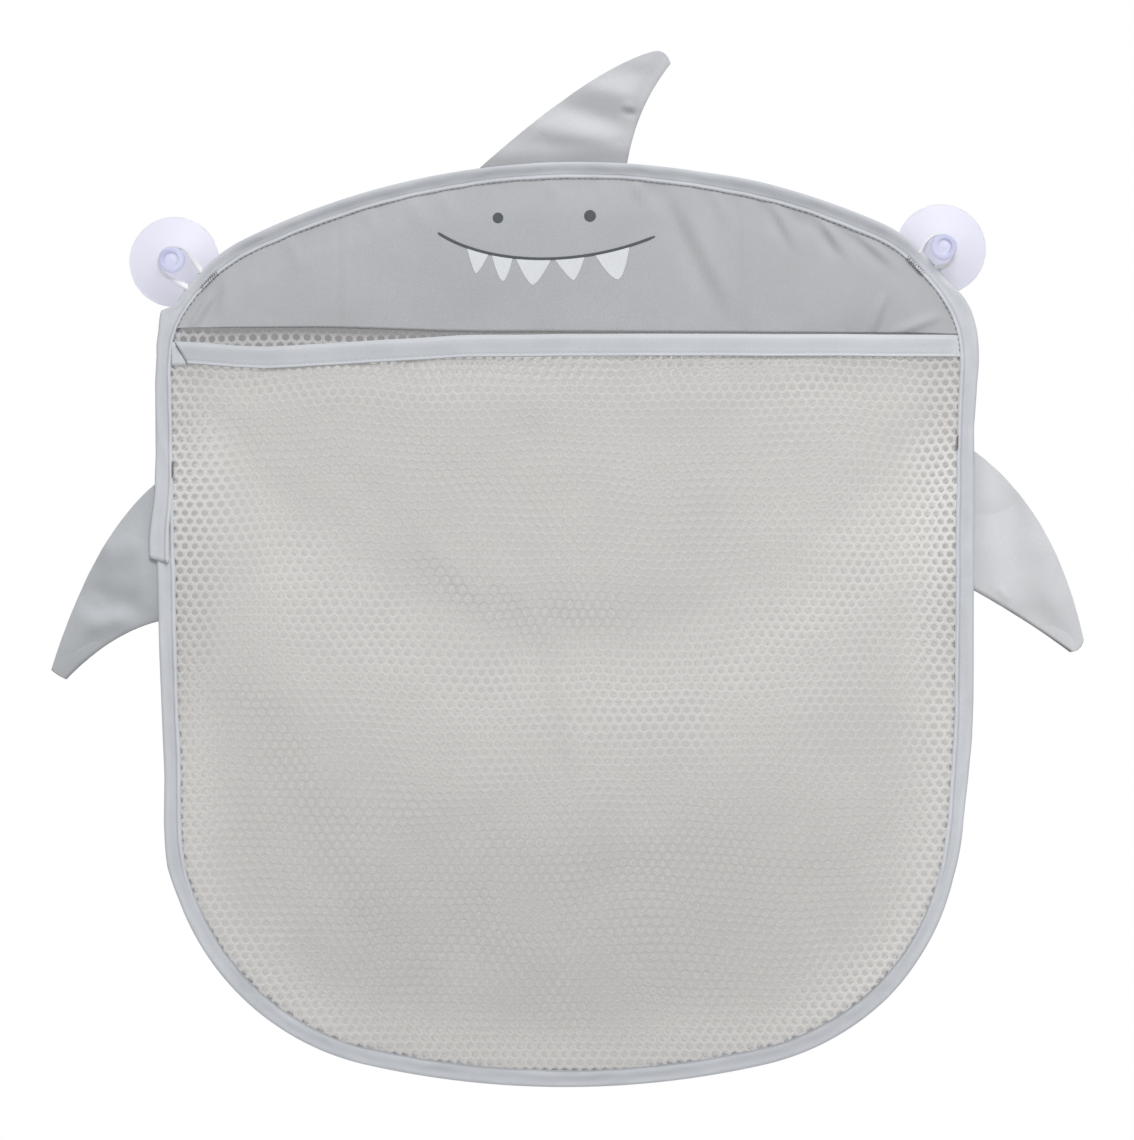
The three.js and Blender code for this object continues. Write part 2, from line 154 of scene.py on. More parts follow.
def edgeX(height, side, inset):
    # where the outline, moved in by an inset, crosses a height
    below = None
    for centre, radius, start, stop in sides[side]:
        low = centre.y + math.sin(start) * (radius - inset)
        high = centre.y + math.sin(stop) * (radius - inset)
        lowX = centre.x + side * math.cos(start) * (radius - inset)
        if height < low:
            if below is None:
                return lowX
            return below.x + (lowX - below.x) * (height - below.y) / (low - below.y)
        if height <= high:
            return centre.x + side * math.sqrt((radius - inset) ** 2 - (height - centre.y) ** 2)
        below = Vector((centre.x + side * math.cos(stop) * (radius - inset), high))
    return below.x


def topAt(x, inset):
    # height of the shoulders and crown over a place across the bag
    for side in (1, -1):
        centre, radius, start, stop = sides[side][2]
        meets = centre.x + side * math.cos(stop) * (radius - inset)
        if side * (x - meets) > 0:
            return centre.y + math.sqrt(max(0.0, (radius - inset) ** 2 - (x - centre.x) ** 2))
    centre, radius, start, stop = sides[1][3]
    return centre.y + math.sqrt((radius - inset) ** 2 - (x - centre.x) ** 2)


# the edge as a walk: it starts at the lap of the edge tape on the left flank and goes down
lapHeight = -146
loop = outlineLoop(1.0)
leftFlank = (i for i, (p, out) in enumerate(loop) if i > len(loop) // 2 and p.x < -190)
first = next(i for i in leftFlank if loop[i][0].y < lapHeight)
loop = loop[first:] + loop[:first]
walk = [0.0]
for (a, outA), (b, outB) in zip(loop, loop[1:] + loop[:1]):
    walk.append(walk[-1] + (b - a).length)
edgeLength = walk[-1]
edgeTree = kdtree.KDTree(len(loop))
for i, (p, out) in enumerate(loop):
    edgeTree.insert((p.x, p.y, 0), i)
edgeTree.balance()


def edgeAt(distance):
    distance %= edgeLength
    i = min(bisect.bisect_right(walk, distance) - 1, len(loop) - 1)
    share = (distance - walk[i]) / max(1e-6, walk[i + 1] - walk[i])
    (a, outA), (b, outB) = loop[i], loop[(i + 1) % len(loop)]
    return a.lerp(b, share), outA.lerp(outB, share).normalized()


def insetOf(x, height):
    # how far inside the outline a point lies
    p, out = loop[edgeTree.find((x, height, 0))[1]]
    return -(Vector((x, height)) - p).dot(out)


def walkTo(x, height):
    # distance along the edge to the place nearest a point
    return walk[edgeTree.find((x, height, 0))[1]]


def foldRelief(x, height, folds):
    # soft creases, each a ridge along a line that fades at its ends
    total = 0.0
    for x1, y1, x2, y2, width, rise in folds:
        run = Vector((x2 - x1, y2 - y1))
        t = ((x - x1) * run.x + (height - y1) * run.y) / run.length_squared
        if -0.2 < t < 1.2:
            off = ((x - x1) * run.y - (height - y1) * run.x) / run.length
            total += rise * hump(off, 0, width) * between(t, -0.2, 0.25, 0.6, 1.2)
    return total


def clothGrid(columns, rows, shape):
    # a flat grid with its own UV map, each point carried to shape(column, row)
    bm = bmesh.new()
    uvMap = bm.loops.layers.uv.new("cloth")
    bmesh.ops.create_grid(bm, x_segments=columns, y_segments=rows, size=1, calc_uvs=True)
    for vert in bm.verts:
        column = round((vert.co.x + 1) / 2 * columns)
        row = round((vert.co.y + 1) / 2 * rows)
        vert.co = shape(column, row)
    return bm, uvMap


def scaleUv(bm, uvMap, wide, high):
    # the cloth's flat size in metres, so that its weave has one scale
    for face in bm.faces:
        for corner in face.loops:
            corner[uvMap].uv = (corner[uvMap].uv.x * wide, corner[uvMap].uv.y * high)


def weld(bm, gap):
    bmesh.ops.remove_doubles(bm, verts=bm.verts[:], dist=gap)


def copied(bm):
    # the points and the faces of a second copy
    made = bmesh.ops.duplicate(bm, geom=bm.verts[:] + bm.edges[:] + bm.faces[:])["geom"]
    kinds = (bmesh.types.BMVert, bmesh.types.BMFace)
    return [[part for part in made if isinstance(part, kind)] for kind in kinds]


def finished(bm, name, finish, smoothFaces=True):
    # the mesh as a piece of the scene, with its material
    mesh = bpy.data.meshes.new(name)
    for face in bm.faces:
        face.smooth = smoothFaces
    bm.to_mesh(mesh)
    bm.free()
    piece = bpy.data.objects.new(name, mesh)
    scene.collection.objects.link(piece)
    mesh.materials.append(bpy.data.materials[finish])
    return piece


def thicken(piece, thickness):
    wall = piece.modifiers.new("wall", "SOLIDIFY")
    wall.thickness = thickness * mm
    wall.offset = -1


def rounded(piece, levels):
    soft = piece.modifiers.new("soft", "SUBSURF")
    soft.levels = levels
    soft.render_levels = levels


def stitch(bm, start, end, thick):
    # one stitch: a grain of thread between two points
    along = end - start
    turn = along.to_track_quat("X", "Z").to_matrix().to_4x4()
    size = Matrix.Diagonal((along.length / 2, thick / 2, thick / 2, 1))
    spot = Matrix.Translation((start + end) / 2)
    bmesh.ops.create_icosphere(bm, subdivisions=1, radius=1, matrix=spot @ turn @ size)


def onBag(piece, slot, *replaced):
    # a piece that moves with the bag
    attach(piece, "bag")
    if replaced:
        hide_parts(*replaced)
    return piece


# materials

def shade(red, green, blue):
    # screen colour to linear
    values = [v / 255 for v in (red, green, blue)]
    return [v / 12.92 if v <= 0.04045 else ((v + 0.055) / 1.055) ** 2.4 for v in values] + [1]


def setInputs(tree, node, inputs):
    # sockets are linked, other values are set
    for name, value in inputs.items():
        if isinstance(value, bpy.types.NodeSocket):
            tree.links.new(value, node.inputs[name])
        else:
            node.inputs[name].default_value = value


def addNode(tree, kind, inputs=None, **settings):
    node = tree.nodes.new(kind)
    for name, value in settings.items():
        setattr(node, name, value)
    setInputs(tree, node, inputs or {})
    return node


def mathNode(tree, operation, *values):
    return addNode(tree, "ShaderNodeMath", dict(enumerate(values)), operation=operation).outputs[0]


def noiseNode(tree, spot, scale, detail):
    inputs = {"Vector": spot, "Scale": scale, "Detail": detail}
    return addNode(tree, "ShaderNodeTexNoise", inputs).outputs["Fac"]


def bumpNode(tree, height, strength, distance):
    inputs = {"Height": height, "Strength": strength, "Distance": distance}
    return addNode(tree, "ShaderNodeBump", inputs).outputs[0]


def mixColours(tree, share, first, second, **settings):
    inputs = {0: share, 6: first, 7: second}
    return addNode(tree, "ShaderNodeMix", inputs, data_type="RGBA", **settings).outputs[2]


def mixShaders(tree, share, first, second, output):
    mix = addNode(tree, "ShaderNodeMixShader", {0: share, 1: first.outputs[0], 2: second.outputs[0]})
    setInputs(tree, tree.nodes[output], {"Surface": mix.outputs[0]})


def newMaterial(name):
    material = bpy.data.materials.new(name)
    material.use_nodes = True
    return material.node_tree, material.node_tree.nodes["Principled BSDF"]


weaveForm = {
    "yarnScale": 900, "yarnRise": 0.8, "yarnTone": 0.35, "crossTone": 0.18, "slowScale": 24, "slowTone": 0.6}


def makeWeave():
    # crossed threads with uneven yarn and a slow change of tone
    group = bpy.data.node_groups.new("clothWeave", "ShaderNodeTree")
    for name, way, kind in (("Vector", "INPUT", "Vector"), ("Threads", "INPUT", "Float"),
                            ("Height", "OUTPUT", "Float"), ("Tone", "OUTPUT", "Float")):
        group.interface.new_socket(name, in_out=way, socket_type="NodeSocket" + kind)
    start = addNode(group, "NodeGroupInput").outputs
    split = addNode(group, "ShaderNodeSeparateXYZ", {0: start["Vector"]}).outputs
    waves = []
    for axis in (0, 1):
        turns = mathNode(group, "MULTIPLY", split[axis], start["Threads"])
        waves.append(mathNode(group, "SINE", mathNode(group, "MULTIPLY", turns, math.pi)))
    cross = mathNode(group, "MULTIPLY", *waves)
    yarn = noiseNode(group, start["Vector"], weaveForm["yarnScale"], 2)
    slow = noiseNode(group, start["Vector"], weaveForm["slowScale"], 3)
    tones = [mathNode(group, "MULTIPLY", part, weaveForm[key])
             for part, key in ((cross, "crossTone"), (yarn, "yarnTone"), (slow, "slowTone"))]
    addNode(group, "NodeGroupOutput", {
        "Height": mathNode(group, "ADD", cross, mathNode(group, "MULTIPLY", yarn, weaveForm["yarnRise"])),
        "Tone": mathNode(group, "ADD", mathNode(group, "ADD", *tones[:2]), tones[2])})
    return group


weave = makeWeave()
plainCloth = {
    "threads": 2400, "roughness": 0.75, "sheen": 0.05, "bump": 0.35,
    "onUv": False, "ownTone": False, "through": 0,
}


def clothMaterial(name, finish):
    # woven or knitted cloth in two close tones
    tree, shader = newMaterial(name)
    finish = {**plainCloth, **finish}
    spot = addNode(tree, "ShaderNodeTexCoord").outputs["UV" if finish["onUv"] else "Object"]
    turn = 0 if finish["onUv"] else -math.pi / 2  # object X and Z become the cloth's own two ways
    laid = addNode(tree, "ShaderNodeMapping", {"Vector": spot, "Rotation": (turn, 0, 0)}).outputs[0]
    inputs = {"Vector": laid, "Threads": finish["threads"]}
    cloth = addNode(tree, "ShaderNodeGroup", inputs, node_tree=weave).outputs
    colour = mixColours(tree, cloth["Tone"], shade(*finish["dark"]), shade(*finish["light"]))
    if finish["ownTone"]:  # slow changes of tone kept on the piece itself
        mark = addNode(tree, "ShaderNodeAttribute", attribute_name="tone").outputs["Color"]
        colour = mixColours(tree, 1, colour, mark, blend_type="MULTIPLY")
    setInputs(tree, shader, {
        "Base Color": colour, "Normal": bumpNode(tree, cloth["Height"], finish["bump"], 0.2 * mm),
        "Roughness": finish["roughness"], "Sheen Weight": finish["sheen"], "Sheen Roughness": 0.5,
        "Specular IOR Level": 0.3})
    if finish["through"]:  # thin white yarn lets some light through
        glow = addNode(tree, "ShaderNodeBsdfTranslucent", {"Color": colour})
        mixShaders(tree, finish["through"], shader, glow, "Material Output")


finCloth = {"roughness": 0.8, "ownTone": True}
tapeCloth = {"threads": 2000, "roughness": 0.7, "bump": 0.3, "onUv": True, "ownTone": True}
yarn = {"threads": 1800, "bump": 0.2}
sewing = {"threads": 3000, "roughness": 0.7, "sheen": 0, "bump": 0.5}
cloths = {  # screen colours of the darker and lighter yarn, and what differs from plain cloth
    "headCloth": {"dark": (166, 168, 171), "light": (190, 192, 195), "roughness": 0.82},
    # painted light and shade: the three fins share one cloth, and their colours differ only for how the light
    # falls on each, lightest on the right fin and darkest on the left
    "dorsalFinCloth": {"dark": (178, 180, 184), "light": (202, 204, 208), **finCloth},
    "leftFinCloth": {"dark": (168, 171, 175), "light": (192, 195, 199), **finCloth},
    "rightFinCloth": {"dark": (194, 196, 199), "light": (218, 220, 223), **finCloth},
    "edgeTapeCloth": {"dark": (188, 191, 197), "light": (212, 215, 220), **tapeCloth},
    "mouthTapeCloth": {"dark": (186, 190, 195), "light": (209, 212, 216), **tapeCloth},
    # painted light: the front and back nets are one white mesh, and the back copy is made lighter to make up
    # for the shade inside the pocket
    "frontYarn": {"dark": (212, 211, 209), "light": (228, 227, 225), **yarn, "through": 0.45, "ownTone": True},
    "backYarnPaintedLight": {"dark": (238, 237, 236), "light": (251, 250, 249), **yarn, "through": 0.65},
    # the dark thread is partly painted shadow, along the edge tape's inner edge
    "darkThreadAndShadowLine": {"dark": (104, 107, 112), "light": (134, 137, 142), **sewing},
    "greyThread": {"dark": (150, 153, 158), "light": (172, 175, 180), **sewing},
    "tackThread": {"dark": (88, 82, 83), "light": (142, 137, 138), **sewing, "threads": 1500},
    "paleThread": {"dark": (205, 208, 212), "light": (226, 228, 231), **sewing},
    "inkPrint": {"dark": (72, 77, 80), "light": (96, 101, 104), "sheen": 0},
    "toothPrint": {"dark": (212, 215, 218), "light": (228, 230, 233), "sheen": 0},
    "elasticCloth": {"dark": (232, 232, 235), "light": (248, 248, 250), "threads": 1400, "roughness": 0.6,
                     "bump": 0.6, "onUv": True},
}
for clothName, clothFinish in cloths.items():
    clothMaterial(clothName, clothFinish)

cupFinish = {
    "colour": (236, 236, 247), "headColour": (224, 226, 252), "headFrom": 14.5, "headFull": 16.5,
    "clear": 0.7, "refraction": 1.4, "roughness": 0.5, "unevenness": 0.12, "bump": 0.08,
}


def makeCupPvc():
    # soft milky PVC, a little uneven in its gloss, with more of the lilac in the thick head in front
    finish = cupFinish
    tree, shader = newMaterial("cupPvc")
    spot = addNode(tree, "ShaderNodeTexCoord").outputs["Object"]
    head = addNode(tree, "ShaderNodeMapRange", {
        "Value": addNode(tree, "ShaderNodeSeparateXYZ", {0: spot}).outputs["Y"],
        "From Min": -finish["headFrom"] * mm, "From Max": -finish["headFull"] * mm}).outputs[0]
    cloud = noiseNode(tree, spot, 130, 3)
    uneven = mathNode(tree, "MULTIPLY", cloud, finish["unevenness"])
    setInputs(tree, shader, {
        "Base Color": mixColours(tree, head, shade(*finish["colour"]), shade(*finish["headColour"])),
        "Normal": bumpNode(tree, cloud, finish["bump"], 0.4 * mm),
        "Roughness": mathNode(tree, "ADD", uneven, finish["roughness"]),
        "Transmission Weight": finish["clear"], "IOR": finish["refraction"]})


makeCupPvc()
print("materials ready")

# fins: two faces of cloth sewn at the edge over thin wadding, blown out by a cloth simulation
finForm = {
    "columns": 40, "rows": 44, "puff": 2.3, "endTaper": 0.1, "tuck": 0.8, "hinge": 7,
    "frames": 20, "mostMove": 2.0, "easing": 60, "bendGain": 0.4, "bendPaintedShade": 0.2, "waves": 0.4,
    "cloth": {
        "quality": 6, "mass": 0.1, "tension_stiffness": 40, "compression_stiffness": 40, "shear_stiffness": 20,
        "bending_stiffness": 8, "use_pressure": True, "uniform_pressure_force": 4, "shrink_min": -0.012,
        "vertex_group_mass": "seam"},
}
# the fins' tone holds painted shade: on the rolled trailing edge, at the base beside the tape, broadly towards
# the trailing edge, and on each bend by its slope to the light
fins = {  # each bend or fold: its two ends, width and rise
    "dorsalFin": {
        "body": "dorsal_fin", "side": 0, "baseMiddle": -6.6, "baseLength": 76.2, "cap": 3.6,
        "edgePaintedShade": 0.1, "rootPaintedShade": 0.24, "widePaintedShade": 0,
        "leadBend": (20.3, 45.6), "leadTip": (50.6, 53.2), "trailBend": (43.3, 26), "trailTip": (61.4, 47.3),
        "bends": [(-22, 66, 32, 53, 6, 4.0), (-8, 77, 34, 64, 5.5, -3.6), (6, 86, 40, 77, 5, 3.0),
                  (20, 94, 44, 90, 5, -1.8)],
        "folds": [(38, 69.5, 28, 72, 1.7, -1.5), (38, 73, 29, 75.5, 1.7, 1.2), (48, 86, 42, 87.5, 1.6, -1.0),
                  (34, 55, 24, 57, 2.2, -0.8)]},
    "leftFin": {
        "body": "left_fin", "side": -1, "baseMiddle": -147.7, "baseLength": 71, "cap": 0.5,
        "edgePaintedShade": 0.3, "rootPaintedShade": 0.08, "widePaintedShade": 0.1,
        "leadBend": (-10.5, 32.2), "leadTip": (59.5, 55.2), "trailBend": (40.5, 23.7), "trailTip": (63.8, 47.4),
        "bends": [(-234, -148, -206, -144, 9, 4.4), (-242, -170, -206, -177, 8, -5.0),
                  (-238, -186, -216, -180, 5, 2.4)],
        "folds": [(-209.5, -174.5, -203.5, -175.5, 1.5, 0.9), (-209, -178, -203.5, -179, 1.4, -0.8),
                  (-206, -120, -211, -135, 3.5, -0.6), (-240, -170, -230, -174, 2.5, 0.8)]},
    "rightFin": {
        "body": "right_fin", "side": 1, "baseMiddle": -131.5, "baseLength": 70.5, "cap": 2.0,
        "edgePaintedShade": 0.75, "rootPaintedShade": 0.09, "widePaintedShade": 0,
        "leadBend": (-6.2, 42), "leadTip": (60.5, 57.2), "trailBend": (49.7, 26.5), "trailTip": (66.2, 50.3),
        "bends": [(226, -108, 222, -168, 8, -4.4), (238, -134, 246, -184, 8, 2.8),
                  (211, -111, 210, -162, 6, 2.4)],
        "folds": [(203.5, -117.5, 219, -115, 2.2, -1.2), (204.5, -122, 217, -120.5, 2.4, 0.8),
                  (216.5, -166, 221.5, -173, 2, 0.8), (206, -133, 206, -142, 2.5, -0.8)]},
}


def finSeam(fin):
    # middle of the sewn base, the way it runs, the way the fin stands out, and how the base drops at its ends
    if fin["side"] == 0:
        centre, radius, start, stop = sides[1][3]
        lean = math.asin((fin["baseMiddle"] - centre.x) / radius)
        out = Vector((math.sin(lean), math.cos(lean)))
        middle = centre + out * radius
        along = Vector((out.y, -out.x))
        return middle, along, out, lambda a: radius - math.sqrt(radius ** 2 - a ** 2)
    side = fin["side"]
    angle = sides[side][2][2]
    out = Vector((side * math.cos(angle), math.sin(angle)))
    middle = Vector((edgeX(fin["baseMiddle"], side, 0), fin["baseMiddle"]))
    return middle, Vector((side * out.y, -side * out.x)), out, lambda a: 0.0


def inflate(piece):
    # the wadding's push: a short cloth simulation, capped, then kept in the mesh
    rest = [v.co.copy() for v in piece.data.vertices]
    cloth = piece.modifiers.new("puff", "CLOTH")
    for name, value in finForm["cloth"].items():
        setattr(cloth.settings, name, value)
    cloth.settings.effector_weights.gravity = 0
    cloth.point_cache.frame_start = 1
    cloth.point_cache.frame_end = finForm["frames"]
    for step in range(1, finForm["frames"] + 1):
        scene.frame_set(step)
    blown = piece.evaluated_get(bpy.context.evaluated_depsgraph_get())
    moves = [v.co - r for v, r in zip(blown.to_mesh().vertices, rest)]
    blown.to_mesh_clear()
    piece.modifiers.remove(cloth)
    scene.frame_set(1)
    most = finForm["mostMove"] * mm
    for vert, start, move in zip(piece.data.vertices, rest, moves):
        if move.length > most:
            move *= most / move.length
        vert.co = start + move


def easeCreases(piece, seam):
    # the simulation's small creases evened out, in depth only
    bm = bmesh.new()
    bm.from_mesh(piece.data)
    held = set(seam)
    free = [v for v in bm.verts if v.index not in held]
    for step in range(finForm["easing"]):
        bmesh.ops.smooth_vert(bm, verts=free, factor=0.5, use_axis_y=True)
    bm.to_mesh(piece.data)
    bm.free()


def makeFin(name, fin):
    middle, along, out, drop = finSeam(fin)
    half = fin["baseLength"] / 2
    columns, rows = finForm["columns"], finForm["rows"]
    lead = [(-half, -finForm["tuck"] - drop(half)), fin["leadBend"], fin["leadTip"]]
    trail = [(half, -finForm["tuck"] - drop(half)), fin["trailBend"], fin["trailTip"]]
    tip = Vector(fin["trailTip"]) - Vector(fin["leadTip"])
    capWay = Vector((-tip.y, tip.x)).normalized()

    def shape(column, row):
        u, v = column / columns, row / rows
        local = bezier(lead, v).lerp(bezier(trail, v), u)
        bulge = (drop(half) - drop(half * (2 * u - 1))) * (1 - v) ** 2
        local = local + capWay * fin["cap"] * 4 * u * (1 - u) * v ** 5
        flat = middle + along * local.x + out * (local.y + bulge)
        arch = math.sin(math.pi * (finForm["endTaper"] + (1 - 2 * finForm["endTaper"]) * v))
        swell = finForm["puff"] * math.sqrt(max(0.0, 4 * u * (1 - u))) * arch if 0 < v < 1 else 0
        return place(flat.x, flat.y, bagShape["seamDepth"] + swell)

    bm, uvMap = clothGrid(columns, rows, shape)
    for vert in copied(bm)[0]:
        vert.co.y = -2 * bagShape["seamDepth"] * mm - vert.co.y
    weld(bm, 0.02 * mm)
    bmesh.ops.recalc_face_normals(bm, faces=bm.faces[:])
    piece = finished(bm, name, name + "Cloth")
    seamY = -bagShape["seamDepth"] * mm
    seam = [v.index for v in piece.data.vertices if abs(v.co.y - seamY) < 0.05 * mm]
    group = piece.vertex_groups.new(name=finForm["cloth"]["vertex_group_mass"])
    group.add(seam, 1, "REPLACE")
    inflate(piece)
    easeCreases(piece, seam)
    rim = [middle + along * p.x + out * p.y for p in (bezier(trail, i / 80) for i in range(81))]
    seamTree = kdtree.KDTree(len(seam))
    for i in seam:
        spot = piece.data.vertices[i].co
        seamTree.insert((spot.x / mm, spot.z / mm, 0), i)
    seamTree.balance()
    tone = piece.data.attributes.new("tone", "FLOAT", "POINT")
    bends, side = fin["bends"], fin["side"]
    for vert in piece.data.vertices:
        x, height, depth = vert.co.x / mm, vert.co.z / mm, -vert.co.y / mm - bagShape["seamDepth"]
        spot = Vector((x, height))
        root = (spot - middle).dot(out)
        near = min((spot - p).length for p in rim)
        free = smooth(root, 1, 14)
        inside = 0.5 + 0.5 * smooth(seamTree.find((x, height, 0))[2], 0.5, 7)
        push = finForm["bendGain"] * foldRelief(x, height, bends) * free * inside
        if depth > 0:
            push += foldRelief(x, height, fin["folds"]) * smooth(depth, 0.2, 2.0)
        push += finForm["waves"] * ripple(x / 11, height / 11, 7 + side) * free
        vert.co.y -= push * mm
        # painted light and shade: a bend's slope towards the light, and painted shade on the trailing edge and
        # at the base
        above, below = (foldRelief(x + 0.75 * way, height + 1.3 * way, bends) for way in (1, -1))
        shaded = fin["edgePaintedShade"] * (1 - smooth(near, 0.5, 2.2)) + fin["rootPaintedShade"] * (1 - smooth(root, 1, 8))
        shaded += fin["widePaintedShade"] * (1 - smooth(near, 1, 16))
        tone.data[vert.index].value = 1 - shaded - finForm["bendPaintedShade"] * (above - below) / 3 * free
    rounded(piece, 1)
    start = place(*middle, bagShape["seamDepth"])
    body = fin["body"]
    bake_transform(piece)
    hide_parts(body + "_front", body + "_back", body + "_wadding")


for finName, finValues in fins.items():
    makeFin(finName, finValues)
print("fins made")

# pocket: the front net bows out from the edge tape, most at the mouth
pocket = {
    "inset": 10.1, "mouthTop": -41, "tapeBottom": -52, "bottom": -405.9, "bow": 26,
    "swagLow": -228, "swagCurve": 0.0031, "swagMiddle": 5, "swagRise": 2.2,  # the net hangs in one broad loop
    "slowWaves": 1.8, "smallWaves": 0.7,
    # painted light and shade in the front net's tone, and a lighter tone beside the flanks
    "loopPaintedLight": 0.11, "lowPaintedShade": 0.075, "hollowPaintedShade": 0.08, "creasePaintedShade": 0.06, "rimTone": 0.05,
    "flankLighter": 0.12, "flankLighterRight": 0.06, "flankLighterLow": 0.02, "rightPaintedLight": 0.07, "leftTone": 0.03,
    "folds": [
        (-40, -150, 5, -205, 9, 2.0), (5, -205, 0, -310, 10, 1.8), (-70, -140, -30, -185, 7, 1.4),
        (45, -200, 60, -330, 22, 2.2), (120, -130, 60, -200, 14, 1.6), (-150, -190, -90, -330, 16, 1.8),
        (-110, -90, -60, -140, 10, 1.2), (110, -230, 150, -330, 14, 1.4), (-40, -330, 30, -390, 12, 1.0),
    ],
}


def pocketSides(height):
    left = max(edgeX(height, -1, pocket["inset"]), edgeX(pocket["mouthTop"], -1, pocket["inset"]))
    right = min(edgeX(height, 1, pocket["inset"]), edgeX(pocket["mouthTop"], 1, pocket["inset"]))
    return left, right


def pocketDepth(x, height):
    height = min(height, pocket["tapeBottom"])
    if height <= pocket["bottom"]:
        return 0.0
    left, right = pocketSides(height)
    across = (2 * x - left - right) / (right - left)
    fall = (pocket["tapeBottom"] - height) / (pocket["tapeBottom"] - pocket["bottom"])
    return pocket["bow"] * max(0.0, 1 - across ** 2) * (1 - fall ** 2)


def swagAt(x, height):
    # millimetres above the hanging loop's middle line
    return height - pocket["swagLow"] - pocket["swagCurve"] * (x - pocket["swagMiddle"]) ** 2


def frontNetDepth(x, height):
    soft = foldRelief(x, height, pocket["folds"]) + pocket["slowWaves"] * ripple(x / 55, height / 55, 2)
    above = swagAt(x, height)
    soft += pocket["swagRise"] * (hump(above, 0, 28) - 0.6 * hump(above, 44, 15))
    soft += pocket["smallWaves"] * ripple(x / 20, height / 20, 5)
    fade = smooth(insetOf(x, height), 10, 34) * smooth(-height, 52, 80)
    return bagShape["frontDepth"] + pocketDepth(x, height) + soft * fade


def frontNetTone(x, height):
    # painted light and shade: lighter on the ridge of the hanging loop and towards the right, painted shade in
    # the loop's hollow, along one crease and below the loop; also lighter in a band under the mouth, towards
    # the left and beside the flanks
    p = pocket
    above = swagAt(x, height)
    tone = 1.0 + p["loopPaintedLight"] * hump(above, 0, 32) - p["lowPaintedShade"] * smooth(-above, 30, 85)
    tone -= p["hollowPaintedShade"] * hump(above, 44, 15) * hump(x, 0, 75)
    tone -= p["creasePaintedShade"] * hump(x + 0.22 * (height + 200), -10, 5) * between(-height, 190, 215, 240, 285)
    tone += p["rimTone"] * hump(height, -68, 8)
    tone += p["rightPaintedLight"] * smooth(x, 50, 170) + p["leftTone"] * smooth(-x, 60, 170)
    besideFlanks = p["flankLighter"] + p["flankLighterRight"] * smooth(x, 0, 180)
    besideFlanks += p["flankLighterLow"] * smooth(-height, 180, 280)
    return tone + besideFlanks * (1 - smooth(insetOf(x, height), 11, 44)) * smooth(-height, 60, 110)


def netSway(x, height, sway, seed):
    # knitted cells lean and stretch a little from place to place
    free = smooth(insetOf(x, height), 6, 40) * sway
    aside = free * (ripple(x / 80, height / 80, seed) + 0.4 * ripple(x / 30, height / 30, seed + 1))
    lower = free * (ripple(x / 80, height / 80, seed + 2) + 0.4 * ripple(x / 30, height / 30, seed + 3))
    return x + aside, height + lower


def makeNet(name, net):
    # hexagon cells side by side, each cut open, then given a rounded thread
    pitch, row = net["pitch"], net["row"]
    across = math.ceil(2 * bagShape["shoulderHalfWidth"] / pitch)
    high = math.ceil((net["top"] - bagShape["bagBottom"]) / row / 2)
    corner = (-bagShape["shoulderHalfWidth"] + net["shift"], bagShape["bagBottom"], 0)
    still = {"axis": (0, 0, 1), "cent": (0, 0, 0), "angle": 0, "use_duplicate": True}
    bm = bmesh.new()
    bmesh.ops.create_circle(bm, cap_ends=True, segments=6, radius=pitch / math.sqrt(3))
    bmesh.ops.scale(bm, vec=(1, row / (pitch * math.sqrt(3) / 2), 1), verts=bm.verts[:])
    bmesh.ops.translate(bm, vec=corner, verts=bm.verts[:])
    bmesh.ops.spin(bm, geom=bm.faces[:], steps=across, dvec=(pitch, 0, 0), **still)
    bmesh.ops.translate(bm, vec=(-pitch / 2, row, 0), verts=copied(bm)[0])
    bmesh.ops.spin(bm, geom=bm.faces[:], steps=high, dvec=(0, 2 * row, 0), **still)
    outside = [f for f in bm.faces
               if insetOf(*f.calc_center_median().xy) < net["inset"] or f.calc_center_median().y > net["top"]]
    bmesh.ops.delete(bm, geom=outside, context="FACES")
    weld(bm, 0.2)
    spine = bm.verts.layers.int.new("spine")
    for vert in bm.verts:
        vert[spine] = 1 if vert.is_boundary else 2
    cells = bm.faces[:]
    bmesh.ops.inset_individual(bm, faces=cells, thickness=net["strand"] / 2, use_even_offset=True)
    for vert in (v for cell in cells for v in cell.verts):
        vert[spine] = 0
    bmesh.ops.delete(bm, geom=cells, context="FACES")
    rim = [e for e in bm.edges if e.is_boundary and e.verts[0][spine] and e.verts[1][spine]]
    bmesh.ops.delete(bm, geom=[f for e in rim for f in e.link_faces], context="FACES")
    threadArea = sum(f.calc_area() for f in bm.faces) * mm ** 2
    behind, backs = copied(bm)
    bmesh.ops.reverse_faces(bm, faces=backs)
    behind = set(behind)
    tone = bm.verts.layers.float.new("tone")
    for vert in bm.verts:
        x, height = netSway(*vert.co.xy, net["sway"], net["seed"])
        vert[tone] = net["tone"](x, height)
        rise = net["thread"] / 2 if vert[spine] == 2 else 0
        vert.co = place(x, height, net["depth"](x, height) + (-rise if vert in behind else rise))
    weld(bm, 0.02 * mm)
    print(name, "cells", len(cells), "faces", len(bm.faces), "thread area", round(threadArea, 4))
    return onBag(finished(bm, name, net["yarn"], False), "net", net["node"])


nets = {
    "frontNet": {
        "pitch": 5.0, "row": 4.1, "strand": 1.75, "thread": 0.45, "inset": 4.5, "top": -48.5, "shift": 0.0,
        "sway": 4.0, "seed": 40, "yarn": "frontYarn", "node": "front_mesh",
        "depth": frontNetDepth, "tone": frontNetTone},
    "backNet": {
        "pitch": 5.2, "row": 4.3, "strand": 1.8, "thread": 0.45, "inset": 4.5, "top": 60, "shift": 1.2,
        "sway": 3.0, "seed": 50, "yarn": "backYarnPaintedLight", "node": "back_mesh",
        "depth": lambda x, height: bagShape["backDepth"], "tone": lambda x, height: 1.0},
}
frontNet, backNet = (makeNet(name, net) for name, net in nets.items())
print("nets made")

